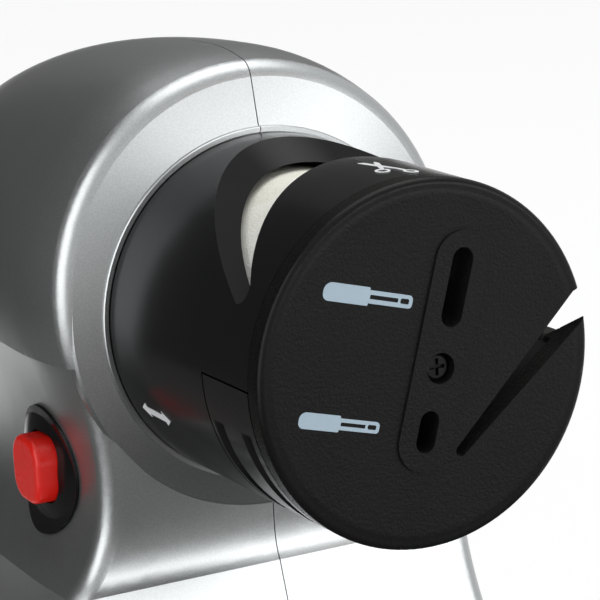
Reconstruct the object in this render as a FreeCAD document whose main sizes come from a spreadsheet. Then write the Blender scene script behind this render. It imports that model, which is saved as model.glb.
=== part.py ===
"""Cordless electric knife sharpener, built as separate pieces.

Row frame, millimetres: +X to the right of someone facing the sharpening head, +Y towards the
back, +Z up. The origin is on the table, under the centre of the bounding box. Head, body and
drive are drawn in a head frame, whose origin is the centre of the front face, on the barrel's
axis: there y is the distance behind the front face and z the height above the axis.
"""
import FreeCAD
import Part
import Sketcher
import math
import os

Vector = FreeCAD.Vector

SIZES = [
    ("overall_length", 155.0, "front face to the back of the base"),
    ("axis_height", 82.0, "barrel axis above the table"),
    # Head
    ("barrel_length", 46.2, "front face to the body's collar"),
    ("barrel_front_radius", 25.0, "barrel radius at the front face"),
    ("barrel_rear_radius", 25.6, "barrel radius at the collar"),
    ("barrel_bore_radius", 22.6, "inside of the barrel"),
    ("plate_thickness", 3.0, "front plate"),
    ("plate_edge_round", 0.9, "rounded rim of the front plate"),
    ("plate_ring_depth", 2.0, "locating ring behind the front plate"),
    ("plate_ring_wall", 1.4, "wall of the locating ring"),
    ("spigot_length", 4.2, "tail of the barrel inside the collar"),
    ("spigot_radius", 24.1, "tail of the barrel"),
    ("slide_clearance", 0.3, "between the head's tail and the collar"),
    ("seat_gap", 0.1, "between faces that seat on each other"),
    ("notch_apex_depth", 9.4, "scissor notch: lowest point behind the front face"),
    ("notch_apex_height", 10.1, "scissor notch: lowest point above the axis"),
    ("notch_lip_depth", 7.9, "scissor notch: foremost point"),
    ("notch_lip_height", 12.9, "height of the foremost point"),
    ("notch_front_depth", 19.5, "front edge of the notch at the top"),
    ("notch_rear_depth", 39.6, "rear edge of the notch at the top"),
    ("notch_apex_round", 1.7, "round bottom of the notch"),
    ("slit_root_across", 4.55, "knife slit: inner end to the right of the axis"),
    ("slit_root_below", 12.26, "knife slit: inner end below the axis"),
    ("slit_root_width", 1.6, "knife slit: width at the inner end"),
    ("slit_upper_angle", 44.5, "slope of the upper lip"),
    ("slit_lower_angle", 38.8, "slope of the lower lip"),
    ("slit_depth", 11.0, "how far the slit runs behind the face at the rim"),
    ("slit_upper_run", 26.4, "length of the upper lip before its hook"),
    ("slit_hook_angle", 18.2, "slope of the hook at the end of the upper lip"),
    ("slit_window_inner", 18.0, "opening in the barrel behind the slit: inner side"),
    ("slit_mouth_edge", 0.4, "front plate at the slit's mouth, where it is thinnest"),
    ("slit_mouth_angle", 48.0, "slope of the relief behind the slit's mouth, from the face"),
    ("slit_window_top", 8.0, "opening in the barrel behind the slit: top, above the axis"),
    ("layout_tilt", 15.6, "lean of the row of tool slots"),
    ("slot_row_offset", 1.65, "row of slots and the face screw, to the right of the face's centre"),
    ("long_slot_length", 10.7, "long tool slot"),
    ("long_slot_width", 3.15, "long tool slot"),
    ("long_slot_up", 10.9, "long slot centre along the row"),
    ("short_slot_length", 5.7, "short tool slot"),
    ("short_slot_width", 2.9, "short tool slot"),
    ("short_slot_down", 8.6, "short slot centre along the row"),
    ("pad_length", 32.6, "raised oblong round the slots"),
    ("pad_half_width", 4.05, "raised oblong"),
    ("pad_up", 2.2, "raised oblong: its centre along the row"),
    ("pad_height", 0.35, "raised oblong above the face"),
    ("dimple_radius", 2.1, "screw recess in the face"),
    ("dimple_depth", 1.6, "screw recess in the face"),
    ("cross_reach", 1.15, "cross recess in the face screw"),
    ("cross_width", 0.5, "cross recess in the face screw"),
    ("cross_depth", 0.55, "cross recess in the face screw"),
    ("guide_radius", 20.4, "slot guide behind the front plate"),
    ("guide_thickness", 4.0, "slot guide behind the front plate"),
    ("cup_front", 3.3, "dust cup: front edge behind the face"),
    ("cup_rear", 16.4, "dust cup: rear edge behind the face"),
    ("cup_gap", 0.3, "round the dust cup"),
    ("cup_groove_depth", 0.9, "finger grooves of the dust cup"),
    ("cup_groove_sweep", 150.0, "how far the finger grooves run round"),
    # Grinding drum and drive
    ("drum_radius", 21.4, "grinding drum"),
    ("drum_front", 8.6, "drum face behind the front face"),
    ("drum_length", 32.0, "grinding drum"),
    ("drum_bore", 8.0, "bore of the drum"),
    ("drum_recess_radius", 11.0, "recess for the nut"),
    ("drum_recess_depth", 3.0, "recess for the nut"),
    ("fit_clearance", 0.05, "between parts that turn together"),
    ("hub_flange_radius", 14.0, "hub behind the drum"),
    ("hub_flange_thickness", 2.2, "hub behind the drum"),
    ("shaft_radius", 1.6, "motor shaft"),
    ("washer_radius", 9.6, "washer in the drum's recess"),
    ("washer_thickness", 0.9, "washer in the drum's recess"),
    ("nut_radius", 3.4, "nut across its corners, half"),
    ("nut_height", 1.7, "nut on the shaft"),
    ("bush_radius", 4.0, "bush in the bracket"),
    ("bush_length", 4.4, "bush in the bracket"),
    ("running_clearance", 0.06, "shaft in its bush"),
    ("bracket_front", 51.2, "motor bracket behind the front face"),
    ("bracket_thickness", 2.4, "motor bracket"),
    ("bracket_bottom", 30.0, "lower edge of the bracket below the axis"),
    ("motor_radius", 13.85, "motor can"),
    ("motor_length", 37.8, "motor can"),
    ("motor_boss_radius", 5.0, "bearing boss of the motor"),
    ("motor_boss_length", 1.6, "bearing boss of the motor"),
    ("motor_cap_length", 2.6, "end cap of the motor"),
    ("motor_screw_spacing", 8.0, "motor screws from the axis"),
    # Body shells
    ("wall", 2.2, "wall of the body shells"),
    ("pod_radius", 34.3, "rounded head of the body"),
    ("pod_centre_up", 3.0, "centre of the rounded head above the barrel axis"),
    ("pod_widest", 62.0, "widest place of the head behind the front face"),
    ("pod_front_reach", 40.0, "long half axis of the head, forwards"),
    ("pod_rear_reach", 90.0, "long half axis of the head, backwards"),
    ("pod_front_round", 3.2, "ridge round the front of the head"),
    ("front_slope", 0.24, "fall of the front face away from the collar"),
    ("front_wall_inside", 51.0, "inside of the body's front wall"),
    ("collar_rise", 2.5, "collar above the waist's front"),
    ("collar_radius", 26.5, "silver lip round the barrel"),
    ("collar_bore_radius", 25.75, "inside of the silver lip"),
    ("collar_reach", 0.45, "silver lip in front of the barrel's seat"),
    ("collar_edge", 0.15, "broken edge of the silver lip"),
    ("collar_foot_radius", 30.6, "where the sloping face round the barrel ends below"),
    ("collar_foot_chamfer", 0.4, "sloping face's lower edge"),
    ("crease_below", 5.5, "crease under the head, below the axis"),
    ("waist_below", 25.0, "narrowest level of the waist, below the axis"),
    ("flare_below", 39.8, "top of the flared base, below the axis"),
    ("crease_half_width", 32.4, "half width just under the crease"),
    ("waist_half_width", 28.0, "half width at the waist"),
    ("flare_half_width", 34.6, "half width at the top of the base"),
    ("base_half_width", 40.6, "half width at the foot of the shells"),
    ("base_front", 34.5, "front of the shells at their foot"),
    ("corner_round", 3.0, "rounded front corners"),
    ("shell_foot", 6.5, "lower edge of the shells above the table"),
    ("parting_gap", 0.08, "each shell's edge from the middle plane"),
    ("boss_radius", 4.2, "screw bosses"),
    ("screw_head_radius", 2.8, "shell screws"),
    ("screw_head_height", 1.9, "shell screws"),
    ("screw_radius", 1.45, "shell screws"),
    ("screw_clearance", 0.25, "round the shell screws"),
    ("screw_seat", 13.0, "seat of the screw heads from the middle plane"),
    ("screw_bite", 9.0, "thread in the left shell"),
    # Button and switch
    ("button_depth", 65.1, "button centre behind the front face"),
    ("button_below", 24.2, "button centre below the axis"),
    ("button_width", 10.0, "red cap, front to back"),
    ("button_height", 10.2, "red cap, up and down"),
    ("button_corner", 3.7, "red cap's corners"),
    ("button_face", 33.0, "red cap's outer face from the middle plane"),
    ("button_edge_round", 0.9, "edge of the red cap"),
    ("button_gap", 0.3, "round the red cap"),
    ("button_travel", 2.0, "press of the button"),
    ("bezel_width", 21.2, "black oval bezel, front to back"),
    ("bezel_height", 19.6, "black oval bezel, up and down"),
    ("bezel_back", 1.6, "bezel's centre behind the button's"),
    ("bezel_down", 0.9, "bezel's centre below the button's"),
    ("bezel_lean", 11.0, "fall of the bezel's long axis towards the rear"),
    ("bezel_rise", 0.5, "bezel above the shell at its edge"),
    ("bezel_dome_radius", 25.0, "bulge of the bezel"),
    ("bezel_dome_top", 30.7, "top of the bezel's bulge from the middle plane"),
    ("flange_thickness", 1.3, "stop flange of the red cap"),
    ("flange_margin", 1.6, "stop flange beyond the cap"),
    ("flange_face", 25.2, "stop flange from the middle plane"),
    ("stem_radius", 1.9, "stem of the red cap"),
    ("switch_face", 18.6, "switch body from the middle plane"),
    ("switch_depth", 5.2, "switch body"),
    ("switch_side", 11.0, "switch body"),
    ("plunger_radius", 1.3, "switch plunger"),
    ("plunger_length", 2.3, "switch plunger outside its body"),
    ("plunger_root", 1.0, "plunger inside the switch at rest"),
    ("carrier_thickness", 1.8, "switch carrier"),
    ("spring_coil_radius", 3.4, "button spring"),
    ("spring_wire", 0.7, "button spring wire"),
    ("spring_turns", 3.0, "button spring"),
    # Base and batteries
    ("plate_bottom", 1.5, "underside of the base plate above the table"),
    ("plate_floor", 2.2, "floor of the base plate"),
    ("plate_lip", 0.6, "base plate beyond the shells"),
    ("plate_rim_height", 3.2, "rim of the base plate inside the shells"),
    ("plate_rim_wall", 1.6, "rim of the base plate inside the shells"),
    ("bay_front", 62.0, "battery bay behind the front face"),
    ("bay_length", 58.0, "battery bay"),
    ("bay_width", 58.6, "battery bay"),
    ("bay_height", 17.0, "battery bay above the base plate's underside"),
    ("bay_wall", 1.6, "walls of the battery bay"),
    ("cell_radius", 7.1, "battery cell"),
    ("cell_length", 49.2, "battery cell without its tip"),
    ("cell_tip_radius", 2.7, "positive tip"),
    ("cell_tip_length", 1.2, "positive tip"),
    ("cell_pitch", 14.5, "between cells"),
    ("contact_thickness", 0.5, "contact plates"),
    ("contact_coil_radius", 3.6, "contact springs"),
    ("contact_wire", 0.8, "contact spring wire"),
    ("contact_turns", 3.0, "contact springs"),
    ("door_thickness", 1.8, "battery door"),
    ("door_gap", 0.3, "round the battery door"),
    ("door_pin_radius", 0.6, "pins of the battery door"),
    ("door_pin_reach", 1.4, "pins of the battery door"),
    ("latch_width", 14.0, "tongue of the battery door"),
    ("foot_radius", 5.0, "rubber feet"),
    ("felt_thickness", 1.6, "felt ring behind the hub"),
    ("felt_radius", 5.6, "felt ring behind the hub"),
    ("lead_radius", 0.8, "wires"),
]


class Size:
    """A length or angle that keeps both its number and the sheet expression it came from."""

    def __init__(self, value, text):
        self.value = value
        self.text = text

    def __add__(self, other):
        other = as_size(other)
        return Size(self.value + other.value, f"({self.text} + {other.text})")

    def __radd__(self, other):
        return as_size(other) + self

    def __sub__(self, other):
        other = as_size(other)
        return Size(self.value - other.value, f"({self.text} - {other.text})")

    def __rsub__(self, other):
        return as_size(other) - self

    def __mul__(self, other):
        other = as_size(other)
        return Size(self.value * other.value, f"({self.text} * {other.text})")

    def __rmul__(self, other):
        return as_size(other) * self

    def __truediv__(self, other):
        other = as_size(other)
        return Size(self.value / other.value, f"({self.text} / {other.text})")

    def __neg__(self):
        return Size(-self.value, f"(-{self.text})")


def as_size(number):
    """A plain number as a Size."""
    if isinstance(number, Size):
        return number
    return Size(float(number), f"({float(number)!r})")


def cosine(angle):
    """Cosine of an angle held in degrees."""
    return Size(math.cos(math.radians(angle.value)), f"cos({angle.text} * 1 deg)")


def sine(angle):
    """Sine of an angle held in degrees."""
    return Size(math.sin(math.radians(angle.value)), f"sin({angle.text} * 1 deg)")


doc = FreeCAD.newDocument("KnifeSharpener")
sheet = doc.addObject("Spreadsheet::Sheet", "Sizes")
S = {}
for row_number, (alias, number, note) in enumerate(SIZES, start=1):
    sheet.set(f"A{row_number}", note)
    sheet.set(f"B{row_number}", str(number))
    sheet.setAlias(f"B{row_number}", alias)
    S[alias] = Size(number, f"Sizes.{alias}")
doc.recompute()

V = {alias: size.value for alias, size in S.items()}

# The head frame: front face centre, on the barrel's axis.
HEAD_Y = S["pad_height"] - S["overall_length"] / 2
HEAD_Z = S["axis_height"]
PARTS = []


# Sketches and features

def place(obj, head_frame=True):
    """Put a piece in the head frame, or in the base's, whose heights are above the table."""
    obj.setExpression("Placement.Base.y", HEAD_Y.text)
    if head_frame:
        obj.setExpression("Placement.Base.z", HEAD_Z.text)


def new_body(label, head_frame=True):
    """A new body that becomes one node of the part."""
    body = doc.addObject("PartDesign::Body", label)
    body.Label = label
    place(body, head_frame)
    PARTS.append(body)
    return body


def origin_plane(body, role):
    """One of the body's own origin planes."""
    for feature in body.Origin.OriginFeatures:
        if feature.Role == role:
            return feature
    raise ValueError(role)


def new_sketch(body, name, role, offset=None):
    """A sketch on an origin plane, moved along the plane's normal by offset."""
    sketch = body.newObject("Sketcher::SketchObject", name)
    sketch.AttachmentSupport = [(origin_plane(body, role), "")]
    sketch.MapMode = "FlatFace"
    if offset is not None:
        sketch.setExpression("AttachmentOffset.Base.z", offset.text)
    return sketch


def pin_point(sketch, geo, end, x, y):
    """Hold one point of the sketch at a place given by sheet values."""
    for kind, size in (("DistanceX", x), ("DistanceY", y)):
        size = as_size(size)
        index = sketch.addConstraint(Sketcher.Constraint(kind, -1, 1, geo, end, size.value))
        sketch.setExpression(f"Constraints[{index}]", size.text)


def outline(sketch, corners):
    """A closed outline. A corner is (x, y), or (x, y, radius, side) where the edge that leaves
    it is an arc that bulges to the left (side 1) or to the right (side -1) of the way along."""
    edges = []
    count = len(corners)
    for i, corner in enumerate(corners):
        here = Vector(as_size(corner[0]).value, as_size(corner[1]).value, 0)
        after = corners[(i + 1) % count]
        there = Vector(as_size(after[0]).value, as_size(after[1]).value, 0)
        if len(corner) == 2:
            geo = sketch.addGeometry(Part.LineSegment(here, there), False)
            edges.append((geo, 1, 2))
            continue
        radius = as_size(corner[2])
        side = corner[3]
        chord = there.sub(here)
        across = Vector(-chord.y, chord.x, 0).normalize()
        drop = math.sqrt(max(radius.value ** 2 - (chord.Length / 2) ** 2, 0.0))
        centre = here.add(there).multiply(0.5).sub(across.multiply(side * drop))
        first, last = (there, here) if side > 0 else (here, there)
        start = math.atan2(first.y - centre.y, first.x - centre.x)
        stop = math.atan2(last.y - centre.y, last.x - centre.x)
        circle = Part.Circle(centre, Vector(0, 0, 1), radius.value)
        geo = sketch.addGeometry(Part.ArcOfCircle(circle, start, stop), False)
        edges.append((geo, 2, 1) if side > 0 else (geo, 1, 2))
        index = sketch.addConstraint(Sketcher.Constraint("Radius", geo, radius.value))
        sketch.setExpression(f"Constraints[{index}]", radius.text)
    for i, (geo, begin, finish) in enumerate(edges):
        follower = edges[(i + 1) % count]
        sketch.addConstraint(Sketcher.Constraint("Coincident", geo, finish, follower[0], follower[1]))
        pin_point(sketch, geo, begin, corners[i][0], corners[i][1])
    return sketch


def ring(sketch, x, y, radius):
    """A circle at (x, y)."""
    centre = Vector(as_size(x).value, as_size(y).value, 0)
    radius = as_size(radius)
    geo = sketch.addGeometry(Part.Circle(centre, Vector(0, 0, 1), radius.value), False)
    pin_point(sketch, geo, 3, x, y)
    index = sketch.addConstraint(Sketcher.Constraint("Radius", geo, radius.value))
    sketch.setExpression(f"Constraints[{index}]", radius.text)


def rectangle(sketch, x_low, x_high, y_low, y_high):
    """A rectangle by its sides."""
    outline(sketch, [(x_low, y_low), (x_high, y_low), (x_high, y_high), (x_low, y_high)])


def round_rectangle(sketch, x_mid, y_mid, half_x, half_y, corner):
    """A rectangle with round corners, about (x_mid, y_mid)."""
    x_low, x_high = x_mid - half_x, x_mid + half_x
    y_low, y_high = y_mid - half_y, y_mid + half_y
    outline(sketch, [
        (x_low + corner, y_low), (x_high - corner, y_low, corner, -1),
        (x_high, y_low + corner), (x_high, y_high - corner, corner, -1),
        (x_high - corner, y_high), (x_low + corner, y_high, corner, -1),
        (x_low, y_high - corner), (x_low, y_low + corner, corner, -1)])


def tool_slot(sketch, x, y, length, width, tilt):
    """A slot with round ends, its length leaning to the right of straight up by tilt."""
    half = (length - width) / 2
    radius = width / 2
    up_x, up_y = half * sine(tilt), half * cosine(tilt)
    tip_x, tip_y = (half + radius) * sine(tilt), (half + radius) * cosine(tilt)
    side_x, side_y = radius * cosine(tilt), radius * sine(tilt)
    outline(sketch, [
        (x + up_x + side_x, y + up_y - side_y, radius, -1),
        (x + tip_x, y + tip_y, radius, -1),
        (x + up_x - side_x, y + up_y + side_y),
        (x - up_x - side_x, y - up_y + side_y, radius, -1),
        (x - tip_x, y - tip_y, radius, -1),
        (x - up_x + side_x, y - up_y - side_y)])


def feature(body, kind, name, sketch, **settings):
    """A sketch-based feature; settings that are Sizes are bound to the sheet."""
    made = body.newObject(kind, name)
    made.Profile = sketch
    for key, setting in settings.items():
        if isinstance(setting, Size):
            made.setExpression(key, setting.text)
        else:
            setattr(made, key, setting)
    sketch.Visibility = False
    return made


def pad(body, name, sketch, length, **settings):
    return feature(body, "PartDesign::Pad", name, sketch, Length=length, **settings)


def pocket(body, name, sketch, length, **settings):
    return feature(body, "PartDesign::Pocket", name, sketch, Length=length, **settings)


def revolve(body, name, sketch, axis="H_Axis", **settings):
    return feature(body, "PartDesign::Revolution", name, sketch, ReferenceAxis=(sketch, [axis]),
                   **settings)


def groove(body, name, sketch, axis="H_Axis", **settings):
    return feature(body, "PartDesign::Groove", name, sketch, ReferenceAxis=(sketch, [axis]),
                   **settings)


def edges_where(shape, test):
    """Names of the shape's edges whose bounding box passes test."""
    return [f"Edge{i}" for i, edge in enumerate(shape.Edges, start=1) if test(edge)]


def edge_round(body, name, test, radius, kind="PartDesign::Fillet"):
    """A fillet or chamfer on the edges of the body's tip that pass test."""
    doc.recompute()
    base = body.Tip
    made = body.newObject(kind, name)
    made.Base = (base, edges_where(base.Shape, test))
    made.setExpression("Radius" if kind.endswith("Fillet") else "Size", radius.text)
    return made


def turned(label, corners, head_frame=True):
    """A body of revolution about the barrel's axis: corners are (distance back, radius)."""
    body = new_body(label, head_frame)
    sketch = outline(new_sketch(body, f"{label}_profile", "YZ_Plane"), corners)
    revolve(body, f"{label}_turn", sketch)
    return body


def own_shape(label, shape, head_frame=True):
    """A piece whose shape is made by Part's functions from the sheet's values."""
    made = doc.addObject("Part::Feature", label)
    made.Label = label
    made.Shape = Part.makeCompound([shape]) if shape.ShapeType == "Solid" else shape
    place(made, head_frame)
    PARTS.append(made)
    return made


# Head: barrel, front plate, slot guide, dust cup

def slit_corners(reach):
    """The knife slit as a wedge seen from the front, from its inner end out to reach."""
    upper, lower = S["slit_upper_angle"], S["slit_lower_angle"]
    half = S["slit_root_width"] / 2
    mean = (upper + lower) / 2
    x_mid, y_mid = S["slit_root_across"], -S["slit_root_below"]
    top = (x_mid - half * sine(mean), y_mid + half * cosine(mean))
    bottom = (x_mid + half * sine(mean), y_mid - half * cosine(mean))
    run, hook = S["slit_upper_run"], S["slit_hook_angle"]
    bend = (top[0] + run * cosine(upper), top[1] + run * sine(upper))
    return [
        (top[0], top[1], half, -1),
        (x_mid - half * cosine(mean), y_mid - half * sine(mean), half, -1),
        bottom,
        (bottom[0] + reach * cosine(lower), bottom[1] + reach * sine(lower)),
        (bend[0] + (reach - run) * cosine(hook), bend[1] + (reach - run) * sine(hook)),
        bend]


def relieve_mouth(body):
    """Cut the back of the slit's mouth away at a slope, which clears the view past the blade."""
    top = S["slit_window_top"]
    edge, rim, depth = S["slit_mouth_edge"], S["barrel_front_radius"], S["slit_depth"]
    run = (depth - edge) * cosine(S["slit_mouth_angle"]) / sine(S["slit_mouth_angle"])
    sketch = outline(new_sketch(body, "slit_mouth", "XY_Plane", -S["cup_gap"]), [
        (rim, edge), (rim - run, depth), (rim * 1.3, depth), (rim * 1.3, edge)])
    pocket(body, "slit_mouth_cut", sketch, top + S["cup_gap"], Reversed=True)


def head_barrel():
    """The black tube round the drum, with the scissor notch and the knife slit's far end."""
    front = S["plate_thickness"] + S["seat_gap"]
    rear = S["barrel_length"]
    tail = rear + S["spigot_length"]
    body = turned("head_barrel", [
        (front, S["barrel_bore_radius"]), (front, S["barrel_front_radius"]),
        (rear, S["barrel_rear_radius"]), (rear, S["spigot_radius"]),
        (tail, S["spigot_radius"]), (tail, S["barrel_bore_radius"])])
    # The notch leans back: its walls run straight across the barrel.
    above = 3.0
    rise = S["barrel_front_radius"] + above
    run = (S["notch_rear_depth"] - S["notch_apex_depth"]) / (S["barrel_front_radius"] - S["notch_apex_height"])
    lean = (S["notch_front_depth"] - S["notch_lip_depth"]) / (S["barrel_front_radius"] - S["notch_lip_height"])
    notch = outline(new_sketch(body, "scissor_notch", "YZ_Plane"), [
        (S["notch_lip_depth"], S["notch_lip_height"], S["notch_apex_round"], -1),
        (S["notch_apex_depth"], S["notch_apex_height"]),
        (S["notch_rear_depth"] + run * above, rise),
        (S["notch_front_depth"] + lean * above, rise)])
    pocket(body, "notch_cut", notch, S["barrel_rear_radius"] * 2.2, Midplane=True)
    slit = outline(new_sketch(body, "knife_slit", "XZ_Plane"), slit_corners(S["barrel_front_radius"] * 1.3))
    pocket(body, "slit_cut", slit, S["slit_depth"])
    behind = new_sketch(body, "slit_window", "XZ_Plane")
    rectangle(behind, S["slit_window_inner"], S["barrel_front_radius"] * 1.3, -S["cup_gap"], S["slit_window_top"])
    pocket(body, "slit_window_cut", behind, S["slit_depth"])
    # The lower front quarter is open and takes the dust cup.
    window = new_sketch(body, "dust_window", "YZ_Plane")
    rectangle(window, front - 1, S["cup_rear"] + S["cup_gap"] / 2,
              -S["barrel_rear_radius"] * 1.1, as_size(0.0))
    pocket(body, "window_cut", window, S["barrel_rear_radius"] * 2.2, Midplane=True)
    return body


def slot_row(along):
    """A point on the row of tool slots, at a distance up the row."""
    tilt = S["layout_tilt"]
    return (S["slot_row_offset"] * cosine(tilt) + along * sine(tilt),
            along * cosine(tilt) - S["slot_row_offset"] * sine(tilt))


def cut_tool_slots(body, depth):
    """Both tool slots, from the front."""
    for name, up, length, width in (
            ("long_slot", S["long_slot_up"], S["long_slot_length"], S["long_slot_width"]),
            ("short_slot", -S["short_slot_down"], S["short_slot_length"], S["short_slot_width"])):
        x, y = slot_row(up)
        sketch = new_sketch(body, name, "XZ_Plane", S["pad_height"] + 0.5)
        tool_slot(sketch, x, y, length, width, S["layout_tilt"])
        pocket(body, f"{name}_cut", sketch, depth + 1)


def face_plate():
    """The round front plate, with its raised oblong, tool slots, knife slit and screw recess."""
    edge = S["plate_edge_round"]
    radius = S["barrel_front_radius"]
    ring_out = S["barrel_bore_radius"] - S["seat_gap"]
    ring_in = ring_out - S["plate_ring_wall"]
    back = S["plate_thickness"]
    body = turned("face_plate", [
        (as_size(0.0), as_size(0.0)), (as_size(0.0), radius - edge, edge, 1),
        (edge, radius), (back, radius), (back, ring_out),
        (back + S["plate_ring_depth"], ring_out), (back + S["plate_ring_depth"], ring_in),
        (back, ring_in), (back, as_size(0.0))])
    x, y = slot_row(S["pad_up"])
    raised = new_sketch(body, "oblong", "XZ_Plane", as_size(-0.5))
    tool_slot(raised, x, y, S["pad_length"], S["pad_half_width"] * 2, S["layout_tilt"])
    pad(body, "oblong_pad", raised, S["pad_height"] + 0.5)
    cut_tool_slots(body, S["plate_thickness"] + 1)
    slit = outline(new_sketch(body, "knife_slit", "XZ_Plane", as_size(1.0)),
                   slit_corners(radius * 1.3))
    pocket(body, "slit_cut", slit, S["slit_depth"])
    relieve_mouth(body)
    x, y = slot_row(as_size(0.0))
    recess = new_sketch(body, "screw_recess", "XZ_Plane", as_size(1.0))
    ring(recess, x, y, S["dimple_radius"])
    pocket(body, "recess_cut", recess, S["dimple_depth"] + 1)
    hole = new_sketch(body, "screw_hole", "XZ_Plane", as_size(1.0))
    ring(hole, x, y, S["screw_radius"] * 0.75)
    pocket(body, "hole_cut", hole, S["plate_thickness"] + 2)
    return body


def slot_guide():
    """The block behind the front plate that steers blades and tool tips to the drum."""
    front = S["plate_thickness"] + S["seat_gap"] / 2
    body = turned("slot_guide", [
        (front, as_size(0.0)), (front, S["guide_radius"]),
        (front + S["guide_thickness"], S["guide_radius"]),
        (front + S["guide_thickness"], as_size(0.0))])
    cut_tool_slots(body, S["drum_front"] + 2)
    slit = outline(new_sketch(body, "knife_slit", "XZ_Plane"), slit_corners(S["barrel_front_radius"] * 1.3))
    pocket(body, "slit_cut", slit, S["slit_depth"])
    relieve_mouth(body)
    x, y = slot_row(as_size(0.0))
    hole = new_sketch(body, "screw_hole", "XZ_Plane")
    ring(hole, x, y, S["screw_radius"] * 0.7)
    pocket(body, "hole_cut", hole, S["drum_front"])
    return body


def face_screw():
    """The small screw between the tool slots, which holds the slot guide."""
    head = S["dimple_radius"] - S["seat_gap"]
    shank = S["screw_radius"] * 0.7 - S["seat_gap"] / 5
    seat = S["dimple_depth"]
    body = turned("face_screw", [
        (seat - 0.9, as_size(0.0)), (seat - 0.9, head * 0.75), (seat - 0.5, head), (seat, head),
        (seat, shank), (S["plate_thickness"] + S["guide_thickness"] - 0.5, shank),
        (S["plate_thickness"] + S["guide_thickness"] - 0.5, as_size(0.0))])
    reach, half = S["cross_reach"], S["cross_width"] / 2
    for name, across, along in (("cross_level", reach, half), ("cross_upright", half, reach)):
        slot = new_sketch(body, name, "XZ_Plane")
        rectangle(slot, -across, across, -along, along)
        pocket(body, f"{name}_cut", slot, seat - 0.9 + S["cross_depth"])
    x, y = slot_row(as_size(0.0))
    body.setExpression("Placement.Base.x", x.text)
    body.setExpression("Placement.Base.z", (HEAD_Z + y).text)
    return body


def dust_cup():
    """The half-round cup under the front of the barrel, with finger grooves across it."""
    gap = S["cup_gap"]
    front = S["cup_front"]
    rear = S["cup_rear"] - gap / 2
    body = new_body("dust_cup")
    profile = outline(new_sketch(body, "cup_profile", "YZ_Plane"), [
        (front, S["barrel_bore_radius"]), (front, S["barrel_front_radius"]),
        (rear, S["barrel_front_radius"] + 0.15), (rear, S["barrel_bore_radius"])])
    revolve(body, "cup_turn", profile)
    depth = S["cup_groove_depth"]
    outside = S["barrel_front_radius"] + 1.0
    for name, low, high in (("groove_rear", 12.9, 15.1), ("groove_middle", 5.0, 7.1)):
        sketch = outline(new_sketch(body, name, "YZ_Plane"), [
            (as_size(low) - 0.6, -outside), (as_size(low), depth - S["barrel_front_radius"]),
            (as_size(high), depth - S["barrel_front_radius"]), (as_size(high) + 0.6, -outside)])
        groove(body, f"{name}_cut", sketch, Angle=S["cup_groove_sweep"], Midplane=True)
    upper = new_sketch(body, "upper_half", "YZ_Plane")
    rectangle(upper, as_size(0.0), S["cup_rear"] + 5, -gap, S["barrel_rear_radius"] * 1.2)
    pocket(body, "upper_cut", upper, S["barrel_rear_radius"] * 2.2, Midplane=True)
    return body


# Grinding drum, shaft and motor

def drum_rear():
    return S["drum_front"] + S["drum_length"]


def grinding_drum():
    """The white abrasive drum, with a recess in its face for the washer and nut."""
    front = S["drum_front"]
    recess = front + S["drum_recess_depth"]
    chamfer = 0.6
    return turned("grinding_drum", [
        (front, S["drum_recess_radius"]), (front, S["drum_radius"] - chamfer),
        (front + chamfer, S["drum_radius"]), (drum_rear() - chamfer, S["drum_radius"]),
        (drum_rear(), S["drum_radius"] - chamfer), (drum_rear(), S["drum_bore"]),
        (recess, S["drum_bore"]), (recess, S["drum_recess_radius"])])


def drum_hub():
    """The flanged sleeve that carries the drum on the motor shaft."""
    front = S["drum_front"] + S["drum_recess_depth"]
    rear = drum_rear() + S["fit_clearance"]
    bore = S["shaft_radius"] + S["fit_clearance"] / 2
    back = rear + S["hub_flange_thickness"]
    return turned("drum_hub", [
        (front, bore), (front, S["drum_bore"] - S["fit_clearance"]),
        (rear, S["drum_bore"] - S["fit_clearance"]), (rear, S["hub_flange_radius"]),
        (back, S["hub_flange_radius"]), (back, bore)])


def drum_washer():
    """The washer that clamps the drum to its hub."""
    rear = S["drum_front"] + S["drum_recess_depth"]
    bore = S["shaft_radius"] + S["fit_clearance"] / 2
    return turned("drum_washer", [
        (rear - S["washer_thickness"], bore), (rear - S["washer_thickness"], S["washer_radius"]),
        (rear, S["washer_radius"]), (rear, bore)])


def drum_nut():
    """The six-sided nut on the end of the shaft."""
    rear = S["drum_front"] + S["drum_recess_depth"] - S["washer_thickness"]
    body = new_body("drum_nut")
    sketch = new_sketch(body, "nut_outline", "XZ_Plane", -rear)
    corners = [(S["nut_radius"] * round(math.cos(math.radians(60 * k)), 6),
                S["nut_radius"] * round(math.sin(math.radians(60 * k)), 6)) for k in range(6)]
    outline(sketch, corners)
    ring(sketch, 0, 0, S["shaft_radius"] + S["fit_clearance"] / 2)
    pad(body, "nut_pad", sketch, S["nut_height"])
    return body


def motor_shaft():
    """The steel shaft, from the nut through the bush into the motor."""
    front = S["drum_front"] + 0.4
    rear = S["bracket_front"] + S["bracket_thickness"] + S["motor_boss_length"]
    return turned("motor_shaft", [
        (front, as_size(0.0)), (front, S["shaft_radius"] - 0.3), (front + 0.3, S["shaft_radius"]),
        (rear, S["shaft_radius"]), (rear, as_size(0.0))])


def motor_front():
    return S["bracket_front"] + S["bracket_thickness"] + S["seat_gap"]


def shaft_bush():
    """The bronze bush that carries the shaft in the bracket."""
    front = S["bracket_front"] + S["bracket_thickness"] - S["bush_length"]
    rear = S["bracket_front"] + S["bracket_thickness"]
    bore = S["shaft_radius"] + S["running_clearance"]
    return turned("shaft_bush", [
        (front, bore), (front, S["bush_radius"]), (rear, S["bush_radius"]), (rear, bore)])


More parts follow.
